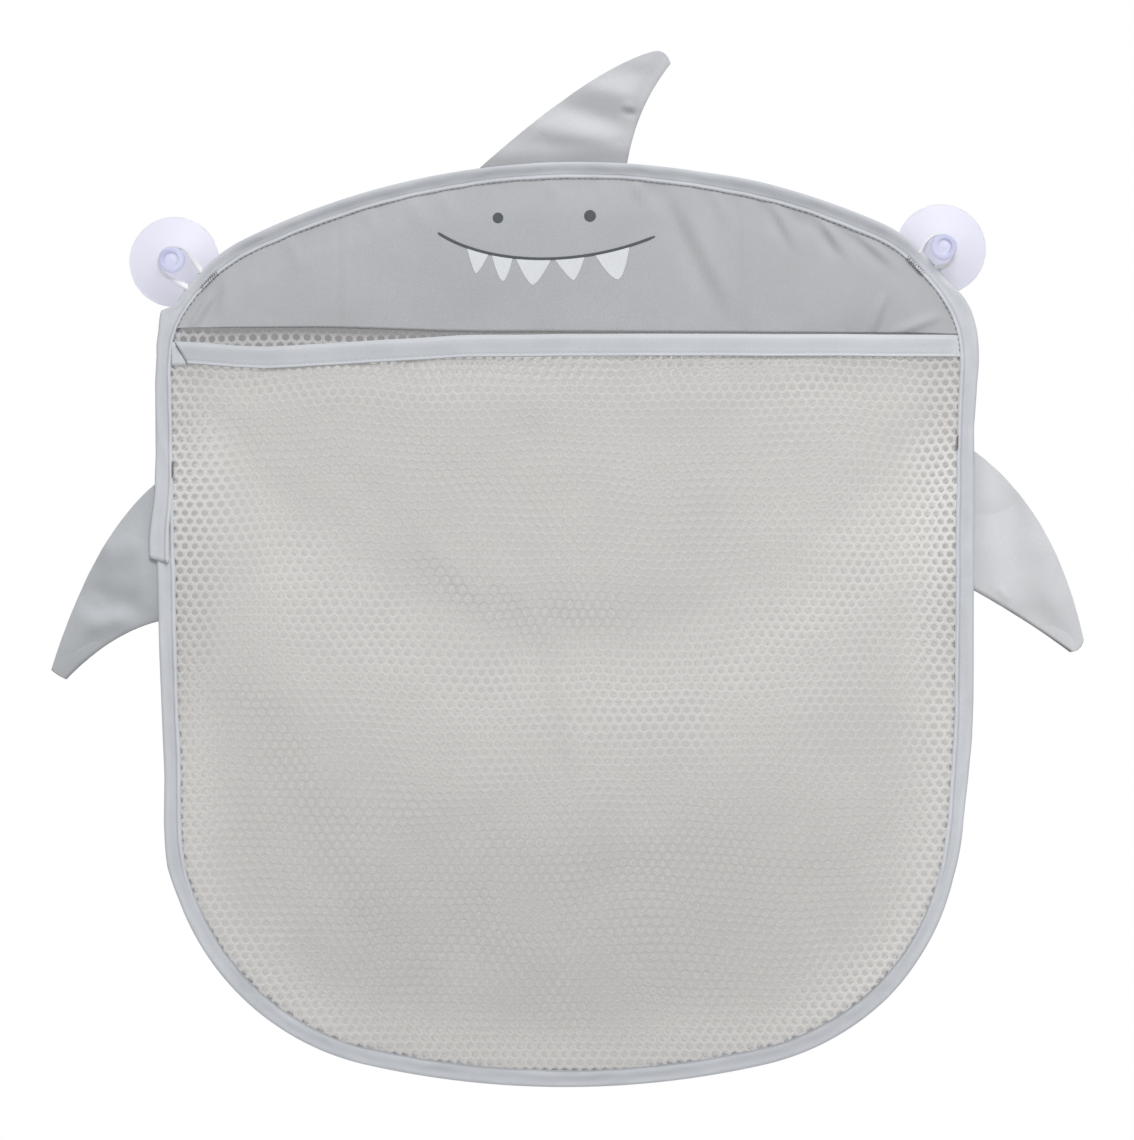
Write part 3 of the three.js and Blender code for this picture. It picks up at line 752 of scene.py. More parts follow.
# head panel: plain cloth, its lower edge turned up behind, with soft creases
headPanel = {
    "hemLeft": -36.2, "hemRight": -39.2, "inset": 4.2, "columns": 240, "rows": 46, "hemRows": 5, "hemTurn": 9,
    "hemGap": 1.3, "thickness": 0.45, "surface": 13.75, "billow": 1.6, "slowWaves": 0.5, "smallWaves": 0.18,
    "freeDepth": 0.3,
    "folds": [  # two ends, width and rise of each
        (-110.5, 18, -110.5, -40, 1.2, 0.6), (-113, 18, -113, -40, 1.2, -0.4),
        (47, 34, 76, -28, 5, -1.6), (55, 32, 86, -30, 4.5, 1.5), (90.5, 30, 90.5, -40, 1.8, 0.9),
        (86, 30, 86, -40, 2.2, -0.7), (98, 30, 111, 4, 2.4, -1.5), (103, 29, 116, 4, 2.0, 1.6),
        (108, 28, 121, 13, 1.9, -1.2), (119, 25, 135, 0, 2.6, -2.0), (125, 24, 141, 0, 2.2, 2.2),
        (132, 21, 158, -4, 3.0, -1.6), (139, 18, 166, -6, 2.6, 1.8), (152, -40, 159, -20, 1.9, 1.4),
        (157, -40, 163, -22, 1.6, -0.9), (164, -39, 188, -30, 2.6, 1.5), (-188, -37, -176, -18, 2.2, 1.5),
        (-182, -38, -172, -18, 2.0, -1.0), (-170, -6, -170, -38, 4.0, 1.0), (-9, 40, -5, 28, 1.3, 1.6),
        (34, 40, 40, 26, 1.7, 2.2), (38, 40, 44, 27, 1.5, -1.5), (-78, 33, -73, 16, 3.2, 1.1),
        (-62, 35, -58, 20, 2.6, 1.0), (18, 40, 20, 26, 2.0, 0.9), (60, 37, 66, 22, 2.2, 1.2),
        (-40, 40, -38, 28, 2.0, 0.8), (-100, 27, -94, 10, 2.6, 0.9), (142, -16, 142, -40, 1.6, 0.8),
        (-140, 12, -132, -6, 3.0, 0.8), (74, 33, 82, 16, 2.2, 1.3),
    ],
}


def hemAt(x):
    return headPanel["hemLeft"] + (headPanel["hemRight"] - headPanel["hemLeft"]) * (
        0.8 * smooth(x, -130, -35) + 0.2 * smooth(x, -35, 190))


def headSurface(x, height):
    # depth of the panel's front face
    inset = insetOf(x, height)
    lift = headPanel["billow"] * smooth(inset, 8, 26) + foldRelief(x, height, headPanel["folds"])
    lift += headPanel["slowWaves"] * ripple(x / 26, height / 40, 1)
    lift += headPanel["smallWaves"] * ripple(x / 8, height / 14, 4)
    deepest = -headPanel["freeDepth"]
    if lift < deepest:  # a fold stops at the net behind
        lift = deepest - 0.45 * math.tanh((deepest - lift) / 0.9)
    return headPanel["surface"] + lift * smooth(inset, 7.5, 12.5)


def makeHeadPanel():
    values = headPanel
    left = edgeX(values["hemLeft"], -1, values["inset"])
    right = edgeX(values["hemRight"], 1, values["inset"])
    hemRows = values["hemRows"]

    def shape(column, row):
        x = (left + right) / 2 - (right - left) / 2 * math.cos(math.pi * column / values["columns"])
        hem = hemAt(x)
        if row < hemRows:  # the turned up edge behind
            turn = (hemRows - row) / hemRows
            height = min(hem + values["hemTurn"] * turn, topAt(x, values["inset"]))
            return place(x, height, headSurface(x, height) - values["hemGap"])
        top = max(hem, topAt(x, values["inset"]))
        height = hem + (top - hem) * (row - hemRows) / (values["rows"] - hemRows)
        return place(x, height, headSurface(x, height))

    bm, uvMap = clothGrid(values["columns"], values["rows"], shape)
    scaleUv(bm, uvMap, 0.39, 0.09)
    weld(bm, 0.02 * mm)
    piece = finished(bm, "headPanel", "headCloth")
    thicken(piece, values["thickness"])
    return onBag(piece, "head_fabric", "head_panel")


headPiece = makeHeadPanel()

# face print: two dots, a thin smile and five teeth, all lying on the panel
face = {
    "eyes": [(-33.5, 18.75, 2.65), (12.5, 19.75, 2.95)],
    "smile": [(-63.5, 11.25), (-37.5, -5.75), (9, -5.75), (45, 9.5)],
    "smileWidth": 1.4, "smileSteps": 60, "proud": 0.14,
    "teeth": [  # left and right ends as shares of the smile, tip, fullness
        (0.165, 0.275, (-44.6, -9.2), 0.75), (0.287, 0.385, (-31.2, -13.0), 0.6),
        (0.397, 0.553, (-16.2, -14.9), 0.7), (0.565, 0.695, (4.3, -12.5), 0.75),
        (0.735, 0.885, (26.6, -12.2), 0.62),
    ],
}


def onPanel(point, extra=0.0):
    return place(point.x, point.y, headSurface(point.x, point.y) + face["proud"] + extra)


def makeFacePrint():
    bm = bmesh.new()
    for x, height, radius in face["eyes"]:
        spot = bmesh.ops.create_circle(bm, cap_ends=True, segments=28, radius=radius)["verts"]
        for vert in spot:
            vert.co = onPanel(Vector((x + vert.co.x, height + vert.co.y)))
    smile, steps = face["smile"], face["smileSteps"]
    strip, uvMap = clothGrid(steps, 2, lambda column, row: Vector((column, row, 0)))
    for vert in strip.verts:
        t = vert.co.x / steps
        middle = bezier(smile, t)
        run = (bezier(smile, min(1, t + 0.01)) - bezier(smile, max(0, t - 0.01))).normalized()
        wide = face["smileWidth"] / 2 * (0.55 + 0.45 * smooth(t, 0, 0.02) * smooth(1 - t, 0, 0.03))
        vert.co = onPanel(middle + Vector((-run.y, run.x)) * wide * (vert.co.y - 1), 0.03)
    mesh = bpy.data.meshes.new("strip")
    strip.to_mesh(mesh)
    strip.free()
    bm.from_mesh(mesh)
    bpy.data.meshes.remove(mesh)
    ink = finished(bm, "facePrint", "inkPrint")
    bm = bmesh.new()
    for left, right, tip, fullness in face["teeth"]:
        made = bmesh.ops.create_grid(bm, x_segments=10, y_segments=14, size=0.5)["verts"]
        middle = bezier(smile, (left + right) / 2)
        for vert in made:
            u, v = vert.co.x + 0.5, vert.co.y + 0.5
            top = bezier(smile, left + (right - left) * u)
            narrow = (1 - v) ** fullness
            vert.co = onPanel(middle.lerp(Vector(tip), v) + (top - middle) * narrow)
    weld(bm, 0.01 * mm)
    teeth = finished(bm, "teethPrint", "toothPrint")
    return [onBag(piece, "head_fabric") for piece in (ink, teeth)]


facePieces = makeFacePrint()
print("head panel and face made")

# edge tape: folded over the edge, sewn near its inner edge, its end lapped over its start
edgeTape = {
    "width": 9.5, "half": 1.7, "thickness": 0.4, "step": 2.0, "frontShare": 0.91, "narrowLeft": 0.12,
    "lapLength": 8, "lapLift": 0.7, "lapFlare": 3.6, "lapReach": 34, "lapSlant": 3, "underlap": 30, "sink": 0.6,
    "ridge": 0.5, "ridgeAt": -8.3, "groove": 0.28, "grooveAt": -7.1, "edgeFall": 0.75, "hollow": 0.25,
    "edgeStitchAt": -9.2, "stitchPitch": 3.1, "stitchLength": 2.3, "stitchThick": 0.42, "flankTop": -50,
    "crownLift": 1.1, "slowWaves": 0.5, "smallWaves": 0.25, "slowPuffs": 0.4, "smallPuffs": 0.25,
    "drift": {  # how far the sewn edge wanders out from the plain outline at a height
        -1: [(-322, 0), (-306, 1.0), (-290, 0), (-260, -0.9), (-240, -0.4), (-200, 0.5), (-146, 1.0),
             (-112, 1.2), (-100, 0.5), (-56, 0), (-50, 0.5), (-44, 1.8), (-38, 2.6), (-32, 4.4),
             (-27.5, 5.8), (-24.5, 0)],
        1: [(-372, 0), (-352, -1.0), (-332, -1.6), (-312, -2.3), (-282, -1.5), (-262, 0.4), (-242, 2.0),
            (-222, 2.4), (-205, 2.2), (-165, 1.5), (-98, 0.5), (-86, 0.2), (-74, 0.9), (-62, 1.5),
            (-50, 2.5), (-38, 3.6), (-27, 4.2), (-20, 3.4), (-12, 0)],
    },
}
# how much darker or lighter the tape is in places: painted shade over the crown, under the bottom, in the
# hollow and the groove and along the lower inner edge, painted highlight on the rim, the crown's fold and the
# right flank, and slow and uneven tone at random
tapePaintedShadeAndTone = {
    "crown": 0.1, "crownTrough": 0.2, "under": 0.03, "underTrough": 0.08, "trough": 0.06, "groove": 0.16,
    "lowEdge": 0.36, "rim": 0.08, "crownFold": 0.1, "right": 0.03, "slow": 0.06, "uneven": 0.06,
}
shoulderWalk = walkTo(-190, -30)


def tapeRidge(offset):
    return edgeTape["ridge"] * hump(offset, edgeTape["ridgeAt"], 0.8)


def tapeGroove(offset):
    return edgeTape["groove"] * hump(offset, edgeTape["grooveAt"], 0.35)


def lowerBend(out):
    # the tape lies flat under the bag, where it faces down
    return smooth(-out.y, 0.1, 0.5)


def tapeSection():
    # across the folded tape, from its inner edge behind round the fold to its inner edge in front
    half, width = edgeTape["half"], edgeTape["width"]
    section = [(offset, -half) for offset in (-width, -8.6, -7.6, -5.5, -3.4)]
    for step in range(9):
        angle = -math.pi / 2 + math.pi * step / 8
        section.append((-half + half * math.cos(angle), half * math.sin(angle)))
    for offset in (-2.6, -3.8, -5.0, -6.0, -6.5, -6.8, -7.0, -7.2, -7.4,
                   -7.7, -8.0, -8.3, -8.7, -9.0, -9.25, -9.4, -width):
        fall = edgeTape["edgeFall"] * smooth(-offset, 8.9, 9.4) + edgeTape["hollow"] * hump(offset, -4.6, 1.5)
        section.append((offset, half + tapeRidge(offset) - fall - tapeGroove(offset)))
    return section


def tapePlace(distance, offset, depth):
    # a point of the tape, with the slight unevenness of sewing
    t = edgeTape
    point, out = edgeAt(distance)
    wave = t["slowWaves"] * ripple(distance / 31, 0, 11) + t["smallWaves"] * ripple(distance / 9, 0, 13)
    puff = t["slowPuffs"] * ripple(distance / 12, offset / 4, 17)
    puff += t["smallPuffs"] * ripple(distance / 5, offset / 6, 19)
    over = smooth(distance, edgeLength - t["lapReach"], edgeLength)
    spread = over * t["lapFlare"] * (0.75 + 0.25 * smooth(offset, -8, 0))
    lift = over * t["lapLift"] - t["sink"] * (1 - smooth(distance, -2, 10))
    share = 1.0
    if depth > 0:
        share = t["frontShare"] - t["narrowLeft"] * hump(distance % edgeLength, shoulderWalk, 50)
        depth += lowerBend(out) * (tapeGroove(offset) - 0.9 * tapeRidge(offset))
    spot = point + out * (offset * share + wave * smooth(-offset, -1, 12) + spread)
    side = 1 if point.x > 0 else -1
    outer = smooth(offset, -7, -2)
    drift = t["drift"][side]
    eased = sum(readTable(drift, point.y + step) for step in (-12, -6, 0, 6, 12)) / 5
    spot.x += side * (0.6 * eased * (1 - outer) + readTable(drift, point.y) * outer)
    if point.y > 0:
        spot.y += t["crownLift"] * between(point.x, 60, 100, 165, 185) * (0.6 + 0.4 * outer)
    rise = (abs(depth) + puff * smooth(-offset, 0, 3) + lift) * (1 if depth > 0 else -1)
    return place(spot.x, spot.y, bagShape["seamDepth"] + rise)


def tapeTone(distance, offset, depth):
    # painted shade: darker over the crown and under the bottom, darkest in the hollow of the front, dark in the
    # groove and along the lower inner edge; painted highlight on the rim, the crown's fold and the right flank
    s = tapePaintedShadeAndTone
    point, out = edgeAt(distance)
    crown, under, low = smooth(out.y, 0.55, 0.95), smooth(-out.y, 0.5, 0.95), lowerBend(out)
    tone = 1 + s["slow"] * ripple(distance / 60, 0, 61) + s["uneven"] * ripple(distance / 14, offset / 4, 63)
    tone += s["right"] * smooth(point.x, 150, 200) + s["crownFold"] * smooth(offset, -0.9, -0.2) * crown
    tone -= s["crown"] * crown + s["under"] * under
    if depth > 0:
        trough = hump(offset, -4.5, 2.4)
        tone -= trough * (s["crownTrough"] * crown + s["underTrough"] * under + s["trough"])
        tone -= s["groove"] * hump(offset, edgeTape["grooveAt"], 0.45) * (1 - crown) * (1 - low)
        tone -= s["lowEdge"] * low * smooth(-offset, 8.2, 8.9)
        tone += s["rim"] * smooth(-offset, 7.2, 7.8) * (1 - low)
    return tone


def makeEdgeTape():
    section = tapeSection()
    reach = edgeTape["underlap"] + edgeLength + edgeTape["lapLength"]
    columns = round(reach / edgeTape["step"])

    def shape(column, row):
        share = column / columns
        slant = edgeTape["lapSlant"] * (1 + section[row][0] / edgeTape["width"]) * smooth(share, 0.97, 1)
        return tapePlace(reach * share - edgeTape["underlap"] - slant, *section[row])

    bm, uvMap = clothGrid(columns, len(section) - 1, shape)
    scaleUv(bm, uvMap, reach * mm, 0.021)
    tone = bm.verts.layers.float.new("tone")
    bm.verts.index_update()
    for vert in bm.verts:
        column, row = vert.index % (columns + 1), vert.index // (columns + 1)
        vert[tone] = tapeTone(reach * column / columns - edgeTape["underlap"], *section[row])
    piece = onBag(finished(bm, "edgeTape", "edgeTapeCloth"), "edge_tape", "edge_binding")
    thicken(piece, edgeTape["thickness"])
    # thread: at the inner edge beside the head panel, and in the groove beside the nets; the dark thread at the
    # inner edge, thicker towards the shoulders, is partly painted shadow, the line of shade under the tape's
    # edge
    upper, lower = bmesh.new(), bmesh.new()
    for i in range(int(edgeLength / edgeTape["stitchPitch"])):
        start = i * edgeTape["stitchPitch"]
        point, out = edgeAt(start)
        high = point.y > edgeTape["flankTop"]
        low = lowerBend(out)
        across = edgeTape["edgeStitchAt"] if high else edgeTape["grooveAt"] - 1.6 * low
        ends = []
        for distance in (start, start + edgeTape["stitchLength"]):
            depth = edgeTape["half"] - 0.45 + 0.6 * low + 0.15 * ripple(distance / 2, 0, 65)
            ends.append(tapePlace(distance, across + 0.25 * ripple(distance / 3, 0, 67), depth))
        thick = edgeTape["stitchThick"] + 0.25 * smooth(abs(point.x), 60, 150) * high
        stitch(upper if high else lower, *ends, thick * mm)
    threads = [finished(upper, "edgeStitches", "darkThreadAndShadowLine"), finished(lower, "flankStitches", "greyThread")]
    for thread in threads:
        onBag(thread, "edge_tape")


makeEdgeTape()
print("edge tape made")

# mouth tape: folded over the pocket's upper edge, a little low on the left, its left end folded under
mouthTape = {
    "left": -195.3, "right": 198.5, "width": 11, "half": 0.95, "thickness": 0.4, "columns": 240,
    "mitre": 6.5, "ridge": 0.55, "pinch": 0.3, "fullness": 0.9,
    "slowWaves": 0.7, "smallWaves": 0.3, "edgeWaves": 0.3, "rightPaintedLight": 0.075, "unevenTone": 0.04,
    "stitchAt": -9.5, "stitchPitch": 3.0, "stitchLength": 2.3, "stitchThick": 0.4,
    "top": [(-196, -42.7), (-180, -43.7), (-165, -45.2), (-150, -46.0), (-132, -45.4), (-100, -43.6),
            (-82, -42.7), (-52, -41.1), (-2, -40.5), (92, -40.2), (168, -39.8), (200, -39.6)],
}


def mouthPlace(x, offset, depth):
    values = mouthTape
    wave = values["slowWaves"] * ripple(x / 40, 0, 21) + values["smallWaves"] * ripple(x / 14, offset / 9, 23)
    fade = between(x, -196, -180, 180, 195)
    height = readTable(values["top"], x) + offset + values["edgeWaves"] * ripple(x / 30, 3, 25) * fade
    depth *= 1 - 0.75 * smooth(x, 190, 196)  # pressed thin where it goes under the edge tape
    return place(x, height, bagShape["frontDepth"] + pocketDepth(x, pocket["tapeBottom"]) + depth + wave * fade)


def makeMouthTape():
    values = mouthTape
    half, width = values["half"], values["width"]
    section = []
    for offset in (-width, -10.7, -10.3, -9.9, -9.5, -9.1, -8.6, -7.6, -6.2, -4.8, -3.4, -2.4, -1.7):
        ridge = values["ridge"] * hump(offset, -10.5, 0.7)
        pinch = values["pinch"] * hump(offset, values["stitchAt"], 0.4)
        section.append((offset, half + ridge - pinch + values["fullness"] * hump(offset, -2.6, 3.6)))
    for step in range(7):
        angle = math.pi / 2 - math.pi * step / 6
        section.append((-half + half * math.cos(angle), half * math.sin(angle)))
    section += [(offset, -half) for offset in (-3, -6, -9, -width)]

    def shape(column, row):
        offset, depth = section[row]
        start = values["left"] + (values["mitre"] * -offset / width if depth > 0 else 0)
        return mouthPlace(start + (values["right"] - start) * column / values["columns"], offset, depth)

    bm, uvMap = clothGrid(values["columns"], len(section) - 1, shape)
    scaleUv(bm, uvMap, 0.39, 0.0235)
    # the end that is folded under shows as a small triangle
    corner = readTable(values["top"], values["left"])
    tuck = bmesh.ops.create_grid(bm, x_segments=6, y_segments=6, size=0.5)["verts"]
    for vert in tuck:
        u, v = vert.co.x + 0.5, vert.co.y + 0.5
        x = values["left"] - 1.5 + (values["mitre"] + 2.0) * u * (1 - v) + 1.5 * u * v
        vert.co = place(x, corner - 0.6 - (width + 0.8) * (1 - v), bagShape["frontDepth"] + 0.75)
    # painted light: the tape is lighter towards the right; the rest of its tone is uneven at random
    tone = bm.verts.layers.float.new("tone")
    for vert in bm.verts:
        x = vert.co.x / mm
        uneven = values["unevenTone"] * ripple(x / 35, vert.co.z / mm / 12, 71)
        vert[tone] = 1 + values["rightPaintedLight"] * smooth(x, 20, 150) + uneven
    piece = onBag(finished(bm, "mouthTape", "mouthTapeCloth"), "mouth_tape", "mouth_binding")
    thicken(piece, values["thickness"])
    bm = bmesh.new()
    x = values["left"] + values["mitre"] + 2
    while x + values["stitchLength"] < values["right"]:
        ends = [mouthPlace(x + step, values["stitchAt"], half - 0.12) for step in (0, values["stitchLength"])]
        stitch(bm, *ends, values["stitchThick"] * mm)
        x += values["stitchPitch"]
    thread = onBag(finished(bm, "mouthStitches", "paleThread"), "mouth_tape")


makeMouthTape()
print("mouth tape made")

# bar tacks: dense dark zigzags where the loops and the fins' upper ends are sewn
barTacks = {
    "places": [  # middle, length and width of each
        (-176.6, -13.2, 12, 3.6), (174.4, -5.9, 12, 3.6), (-194.7, -107, 8, 1.4), (194.9, -94, 7, 1.4)],
    "stitches": 16, "thick": 0.42, "proud": 0.75, "uneven": 0.3,
}


def makeBarTacks():
    bm = bmesh.new()
    for x, height, length, wide in barTacks["places"]:
        middle = walkTo(x, height)
        inset = insetOf(x, height)
        count = barTacks["stitches"]
        for i in range(count):
            ends = []
            for step, side in ((i, -1), (i + 1.4, 1)):
                distance = middle + length * (step / count - 0.5) + 0.5 * ripple(i * 1.7, side, 33)
                across = side * wide / 2 * (1 if i % 2 else -1) * (1 + 0.5 * ripple(i * 1.3, side, 35))
                proud = barTacks["proud"] - 0.9 * smooth(inset - across, 8.8, 10.2)
                proud += barTacks["uneven"] * ripple(i * 2.1, side, 31)
                ends.append(tapePlace(distance, -inset + across, edgeTape["half"] + proud))
            stitch(bm, *ends, barTacks["thick"] * mm)
    onBag(finished(bm, "barTacks", "tackThread"), "edge_tape")


makeBarTacks()

# suction cups and the elastic loops that hold them
cups = {
    "radius": 22.75, "rimWidth": 1.4, "rimThickness": 0.9, "hollow": 5.6, "hollowBend": 12.8,
    "bellHeight": 9.5, "bellBendRadius": 9.6, "bellBendHeight": 7.6, "neckRadius": 4.8, "neckLength": 6.5,
    "headRadius": 6.5, "headHeight": 5.2, "ringRadius": 3.7, "ringDepth": 0.7, "buttonRadius": 1.6,
    "curveSteps": 16, "turns": 96,
}
loops = {
    "thickness": 1.7, "ease": 2.4, "slide": 2.1, "width": 5.5, "footWidth": 4.6, "spread": 10.4, "tuck": 1.5,
    "twist": 30, "steps": 110, "hinge": (0.2, 4.0),
    "left": {"side": -1, "angle": 40.5, "reach": 14}, "right": {"side": 1, "angle": 43.8, "reach": 8.8},
}


def cupProfile():
    # half of the cup's section, as radius and height from the wall
    c = cups
    steps = c["curveSteps"]
    rim, lip, neck, head = c["radius"], c["rimThickness"], c["neckRadius"], c["headRadius"]
    headBase = c["bellHeight"] + c["neckLength"]
    headTop = headBase + c["headHeight"]
    ring = headTop - c["ringDepth"]
    runs = [
        [(0, c["hollow"]), (c["hollowBend"], c["hollow"]), (rim - c["rimWidth"], 0)],
        [(rim - 0.5, 0), (rim + 0.05, lip / 2), (rim - 0.3, lip)],
        [(rim - 0.6, lip + 0.15), (c["bellBendRadius"], c["bellBendHeight"]), (neck, c["bellHeight"])],
        [(neck, headBase - 0.6), (neck + 0.1, headBase), (head - 0.5, headBase)],
        [(head, headBase + 0.7), (head + 0.1, headTop - 0.2), (5.0, headTop)],
        [(4.3, headTop), (c["ringRadius"], headTop), (c["ringRadius"] - 0.3, ring)],
        [(2.4, ring), (c["buttonRadius"] + 0.1, ring), (c["buttonRadius"], headTop - 0.2), (0, headTop)],
    ]
    return [bezier(run, i / steps) for run in runs for i in range(steps + 1)]


def makeCup(side, values):
    arc = sides[values["side"]][2]
    angle = math.radians(values["angle"])
    out = Vector((values["side"] * math.cos(angle), math.sin(angle)))
    seam = arc[0] + out * arc[1]
    neck = seam + out * values["reach"]
    bm = bmesh.new()
    verts = [bm.verts.new((p.x, -p.y, 0)) for p in cupProfile()]
    edges = [bm.edges.new(pair) for pair in zip(verts, verts[1:])]
    bmesh.ops.spin(bm, geom=verts + edges, axis=(0, 1, 0), cent=(0, 0, 0), angle=2 * math.pi,
                   steps=cups["turns"], use_merge=True)
    weld(bm, 0.005)
    bmesh.ops.recalc_face_normals(bm, faces=bm.faces[:])
    bmesh.ops.scale(bm, vec=(mm, mm, mm), verts=bm.verts[:])
    bmesh.ops.translate(bm, vec=place(neck.x, neck.y, 0), verts=bm.verts[:])
    cup = finished(bm, side + "Cup", "cupPvc")
    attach(cup, side + "_cup")
    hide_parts(side + "_cup")

    # the strap's line: out from the tape, round the neck and back
    along = Vector((out.y, -out.x))
    radius = cups["neckRadius"] + loops["ease"] + loops["thickness"] / 2
    foot = Vector((loops["spread"] / 2, -loops["tuck"]))
    reach = values["reach"] - loops["slide"]
    toFoot = foot - Vector((0, reach))
    touch = math.atan2(toFoot.y, toFoot.x) + math.acos(radius / toFoot.length)
    line = [foot]
    for i in range(49):
        turn = touch + (math.pi - 2 * touch) * i / 48
        line.append(Vector((radius * math.cos(turn), reach + radius * math.sin(turn))))
    line.append(Vector((-foot.x, foot.y)))
    lengths = [0.0]
    for a, b in zip(line, line[1:]):
        lengths.append(lengths[-1] + (b - a).length)

    def lineAt(distance):
        i = min(max(bisect.bisect_right(lengths, distance) - 1, 0), len(line) - 2)
        share = (distance - lengths[i]) / (lengths[i + 1] - lengths[i])
        return line[i].lerp(line[i + 1], share)

    section = [(0.5, 0.30), (0.42, 0.46), (0.3, 0.5), (-0.3, 0.5), (-0.42, 0.46), (-0.5, 0.30)]
    section = section + [(-a, -b) for a, b in section]
    section = section + section[:1]

    def shape(column, row):
        distance = lengths[-1] * column / loops["steps"]
        spot = lineAt(distance)
        run = (lineAt(min(lengths[-1], distance + 0.4)) - lineAt(max(0, distance - 0.4))).normalized()
        free = smooth(spot.y, 0, values["reach"] * 0.75)
        wide = loops["footWidth"] + (loops["width"] - loops["footWidth"]) * free
        twist = math.radians(loops["twist"]) * (1 - free) * (1 if spot.x > 0 else -1)
        thin, deep = section[row]
        rib = 1 + 0.06 * (1 if column % 2 else -1) * (1 if abs(thin) > 0.4 else 0)
        thin, deep = thin * loops["thickness"] * rib, deep * wide
        aside = thin * math.cos(twist) + deep * math.sin(twist)
        spot = spot + Vector((-run.y, run.x)) * aside
        flat = seam + along * spot.x + out * spot.y
        return place(flat.x, flat.y, bagShape["seamDepth"] + deep * math.cos(twist) - thin * math.sin(twist))

    bm, uvMap = clothGrid(loops["steps"], len(section) - 1, shape)
    scaleUv(bm, uvMap, lengths[-1] * mm, 0.014)
    weld(bm, 0.005 * mm)
    bmesh.ops.holes_fill(bm, edges=bm.edges[:])
    bmesh.ops.recalc_face_normals(bm, faces=bm.faces[:])
    strap = finished(bm, side + "Loop", "elasticCloth")
    rounded(strap, 1)
    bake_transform(strap)
    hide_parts(side + "_loop")


for cupSide in ("left", "right"):
    makeCup(cupSide, loops[cupSide])
print("cups and loops made")

# stage: a pale floor well below the hanging bag, and a card just behind the back net, painted with the shade of
# the wall that shows through the net
stage = {
    "floorColour": (236, 236, 236),
    "floorHeight": -0.5, "floorWidth": 1.5, "floorDeep": 0.9, "floorForward": 0.1,
    "wallDark": (148, 147, 149), "wallLight": (203, 201, 199), "lowShade": 0.1, "rightLight": 0.12,
    "wallInset": 5, "wallDepth": 9.8, "wallRings": 24, "wallMiddle": (0, -185),
}


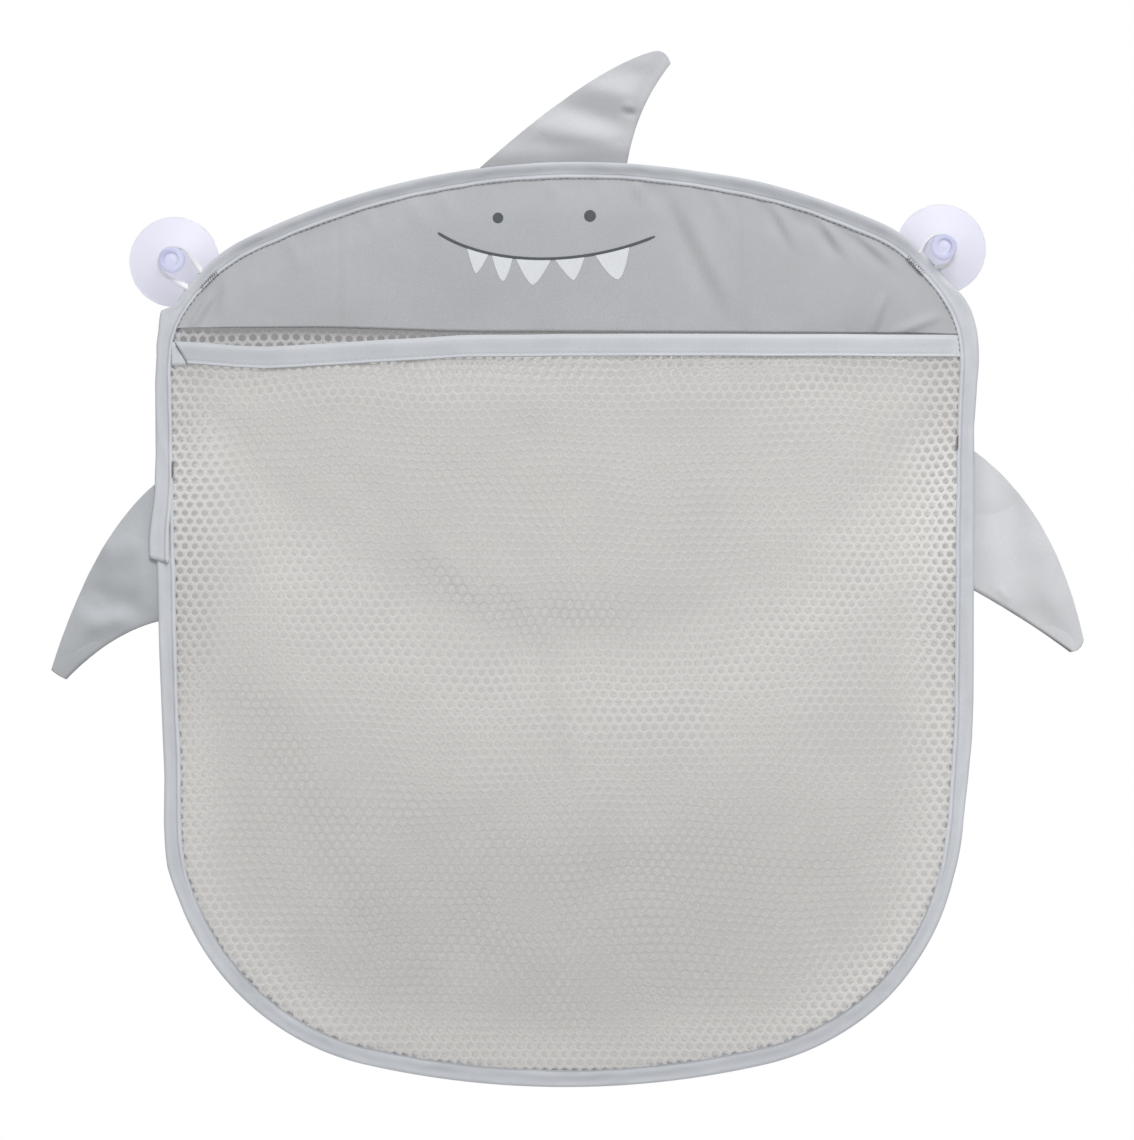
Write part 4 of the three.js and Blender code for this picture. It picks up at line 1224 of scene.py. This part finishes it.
def makeStage():
    bm = bmesh.new()
    bmesh.ops.create_grid(bm, x_segments=1, y_segments=1, size=0.5)
    bmesh.ops.scale(bm, vec=(stage["floorWidth"], stage["floorDeep"], 1), verts=bm.verts[:])
    bmesh.ops.translate(bm, vec=(0, -stage["floorForward"], stage["floorHeight"]), verts=bm.verts[:])
    tree, paint = newMaterial("floorPaint")
    setInputs(tree, paint, {"Base Color": shade(*stage["floorColour"]), "Roughness": 0.9})
    floor = finished(bm, "floor", "floorPaint", False)

    # painted shade on the card: darker beside the tape and under the mouth, where less light comes in, and
    # towards the bottom; painted light towards the right
    rings = stage["wallRings"]
    edge = [p - out * stage["wallInset"] for p, out in loop[::6]]
    middle = Vector(stage["wallMiddle"])

    def shape(column, row):
        spot = edge[column % len(edge)].lerp(middle, row / rings)
        return place(spot.x, spot.y, stage["wallDepth"])

    bm, uvMap = clothGrid(len(edge), rings, shape)
    weld(bm, 0.05 * mm)
    tone = bm.verts.layers.float.new("tone")
    for vert in bm.verts:
        x, height = vert.co.x / mm, vert.co.z / mm
        inset = insetOf(x, height)
        low = stage["lowShade"] * smooth(-height, 200, 390) * smooth(inset, 20, 60)
        low -= stage["rightLight"] * smooth(x, 40, 190)
        beside = 0.5 + 0.5 * smooth(-height, 170, 260)
        beside += (1 - beside) * smooth(inset, 8, 40)
        vert[tone] = smooth(-height, 45, 56) * beside - low * smooth(-height, 54, 90)
    tree, plain = newMaterial("cardPaintedShade")
    tree.nodes.remove(plain)
    mark = addNode(tree, "ShaderNodeAttribute", attribute_name="tone").outputs["Fac"]
    tint = mixColours(tree, mark, shade(*stage["wallDark"]), shade(*stage["wallLight"]))
    # the card glows: it is lit through from behind and shows its painted shade from the front only
    front = addNode(tree, "ShaderNodeBsdfTranslucent", {"Color": tint})
    clear = addNode(tree, "ShaderNodeBsdfTransparent")
    behind = addNode(tree, "ShaderNodeNewGeometry").outputs["Backfacing"]
    mixShaders(tree, behind, front, clear, "Material Output")
    wall = finished(bm, "paintedShadeCard", "cardPaintedShade", False)


makeStage()

# plain soft light: an even surround, a large lamp above the front and a weak one from the side
light = {
    "surround": 0.42,
    "lamps": [("keyLamp", (0.45, -1.4, 1.4), 0.8, 29.5), ("fillLamp", (-1.2, -1.5, 0.1), 1.2, 5)],
    "aim": (0, 0, -0.16),
}


def makeLight():
    world = bpy.data.worlds.new("studio")
    scene.world = world
    world.use_nodes = True
    tree = world.node_tree
    plain = tree.nodes["Background"]
    setInputs(tree, plain, {"Color": (1, 1, 1, 1), "Strength": light["surround"]})
    white = addNode(tree, "ShaderNodeBackground", {"Color": (1, 1, 1, 1), "Strength": 1})
    path = addNode(tree, "ShaderNodeLightPath").outputs
    seen = mathNode(tree, "MAXIMUM", path["Is Camera Ray"], path["Is Glossy Ray"])
    seen = mathNode(tree, "MAXIMUM", seen, path["Is Transmission Ray"])
    mixShaders(tree, seen, plain, white, "World Output")
    for name, spot, size, power in light["lamps"]:
        lamp = bpy.data.lights.new(name, "AREA")
        lamp.size = size
        lamp.energy = power
        holder = bpy.data.objects.new(name, lamp)
        holder.location = spot
        holder.rotation_euler = (Vector(light["aim"]) - Vector(spot)).to_track_quat("-Z", "Y").to_euler()
        scene.collection.objects.link(holder)


makeLight()

# camera: square on to the bag, at the photograph's framing of 567 by 570 millimetres
view = {"distance": 2.3, "frameHigh": 0.570, "sensor": 36, "middle": (0.001, -0.0145, -0.15725)}


def makeCamera():
    camera = bpy.data.cameras.new("camera")
    camera.sensor_width = view["sensor"]
    camera.lens = view["sensor"] * view["distance"] / view["frameHigh"]
    holder = bpy.data.objects.new("camera", camera)
    x, y, z = view["middle"]
    holder.location = (x, y - view["distance"], z)
    holder.rotation_euler = (math.pi / 2, 0, 0)
    scene.collection.objects.link(holder)
    scene.camera = holder


makeCamera()
scene.view_settings.view_transform = "Standard"
print("stage, light and camera made")
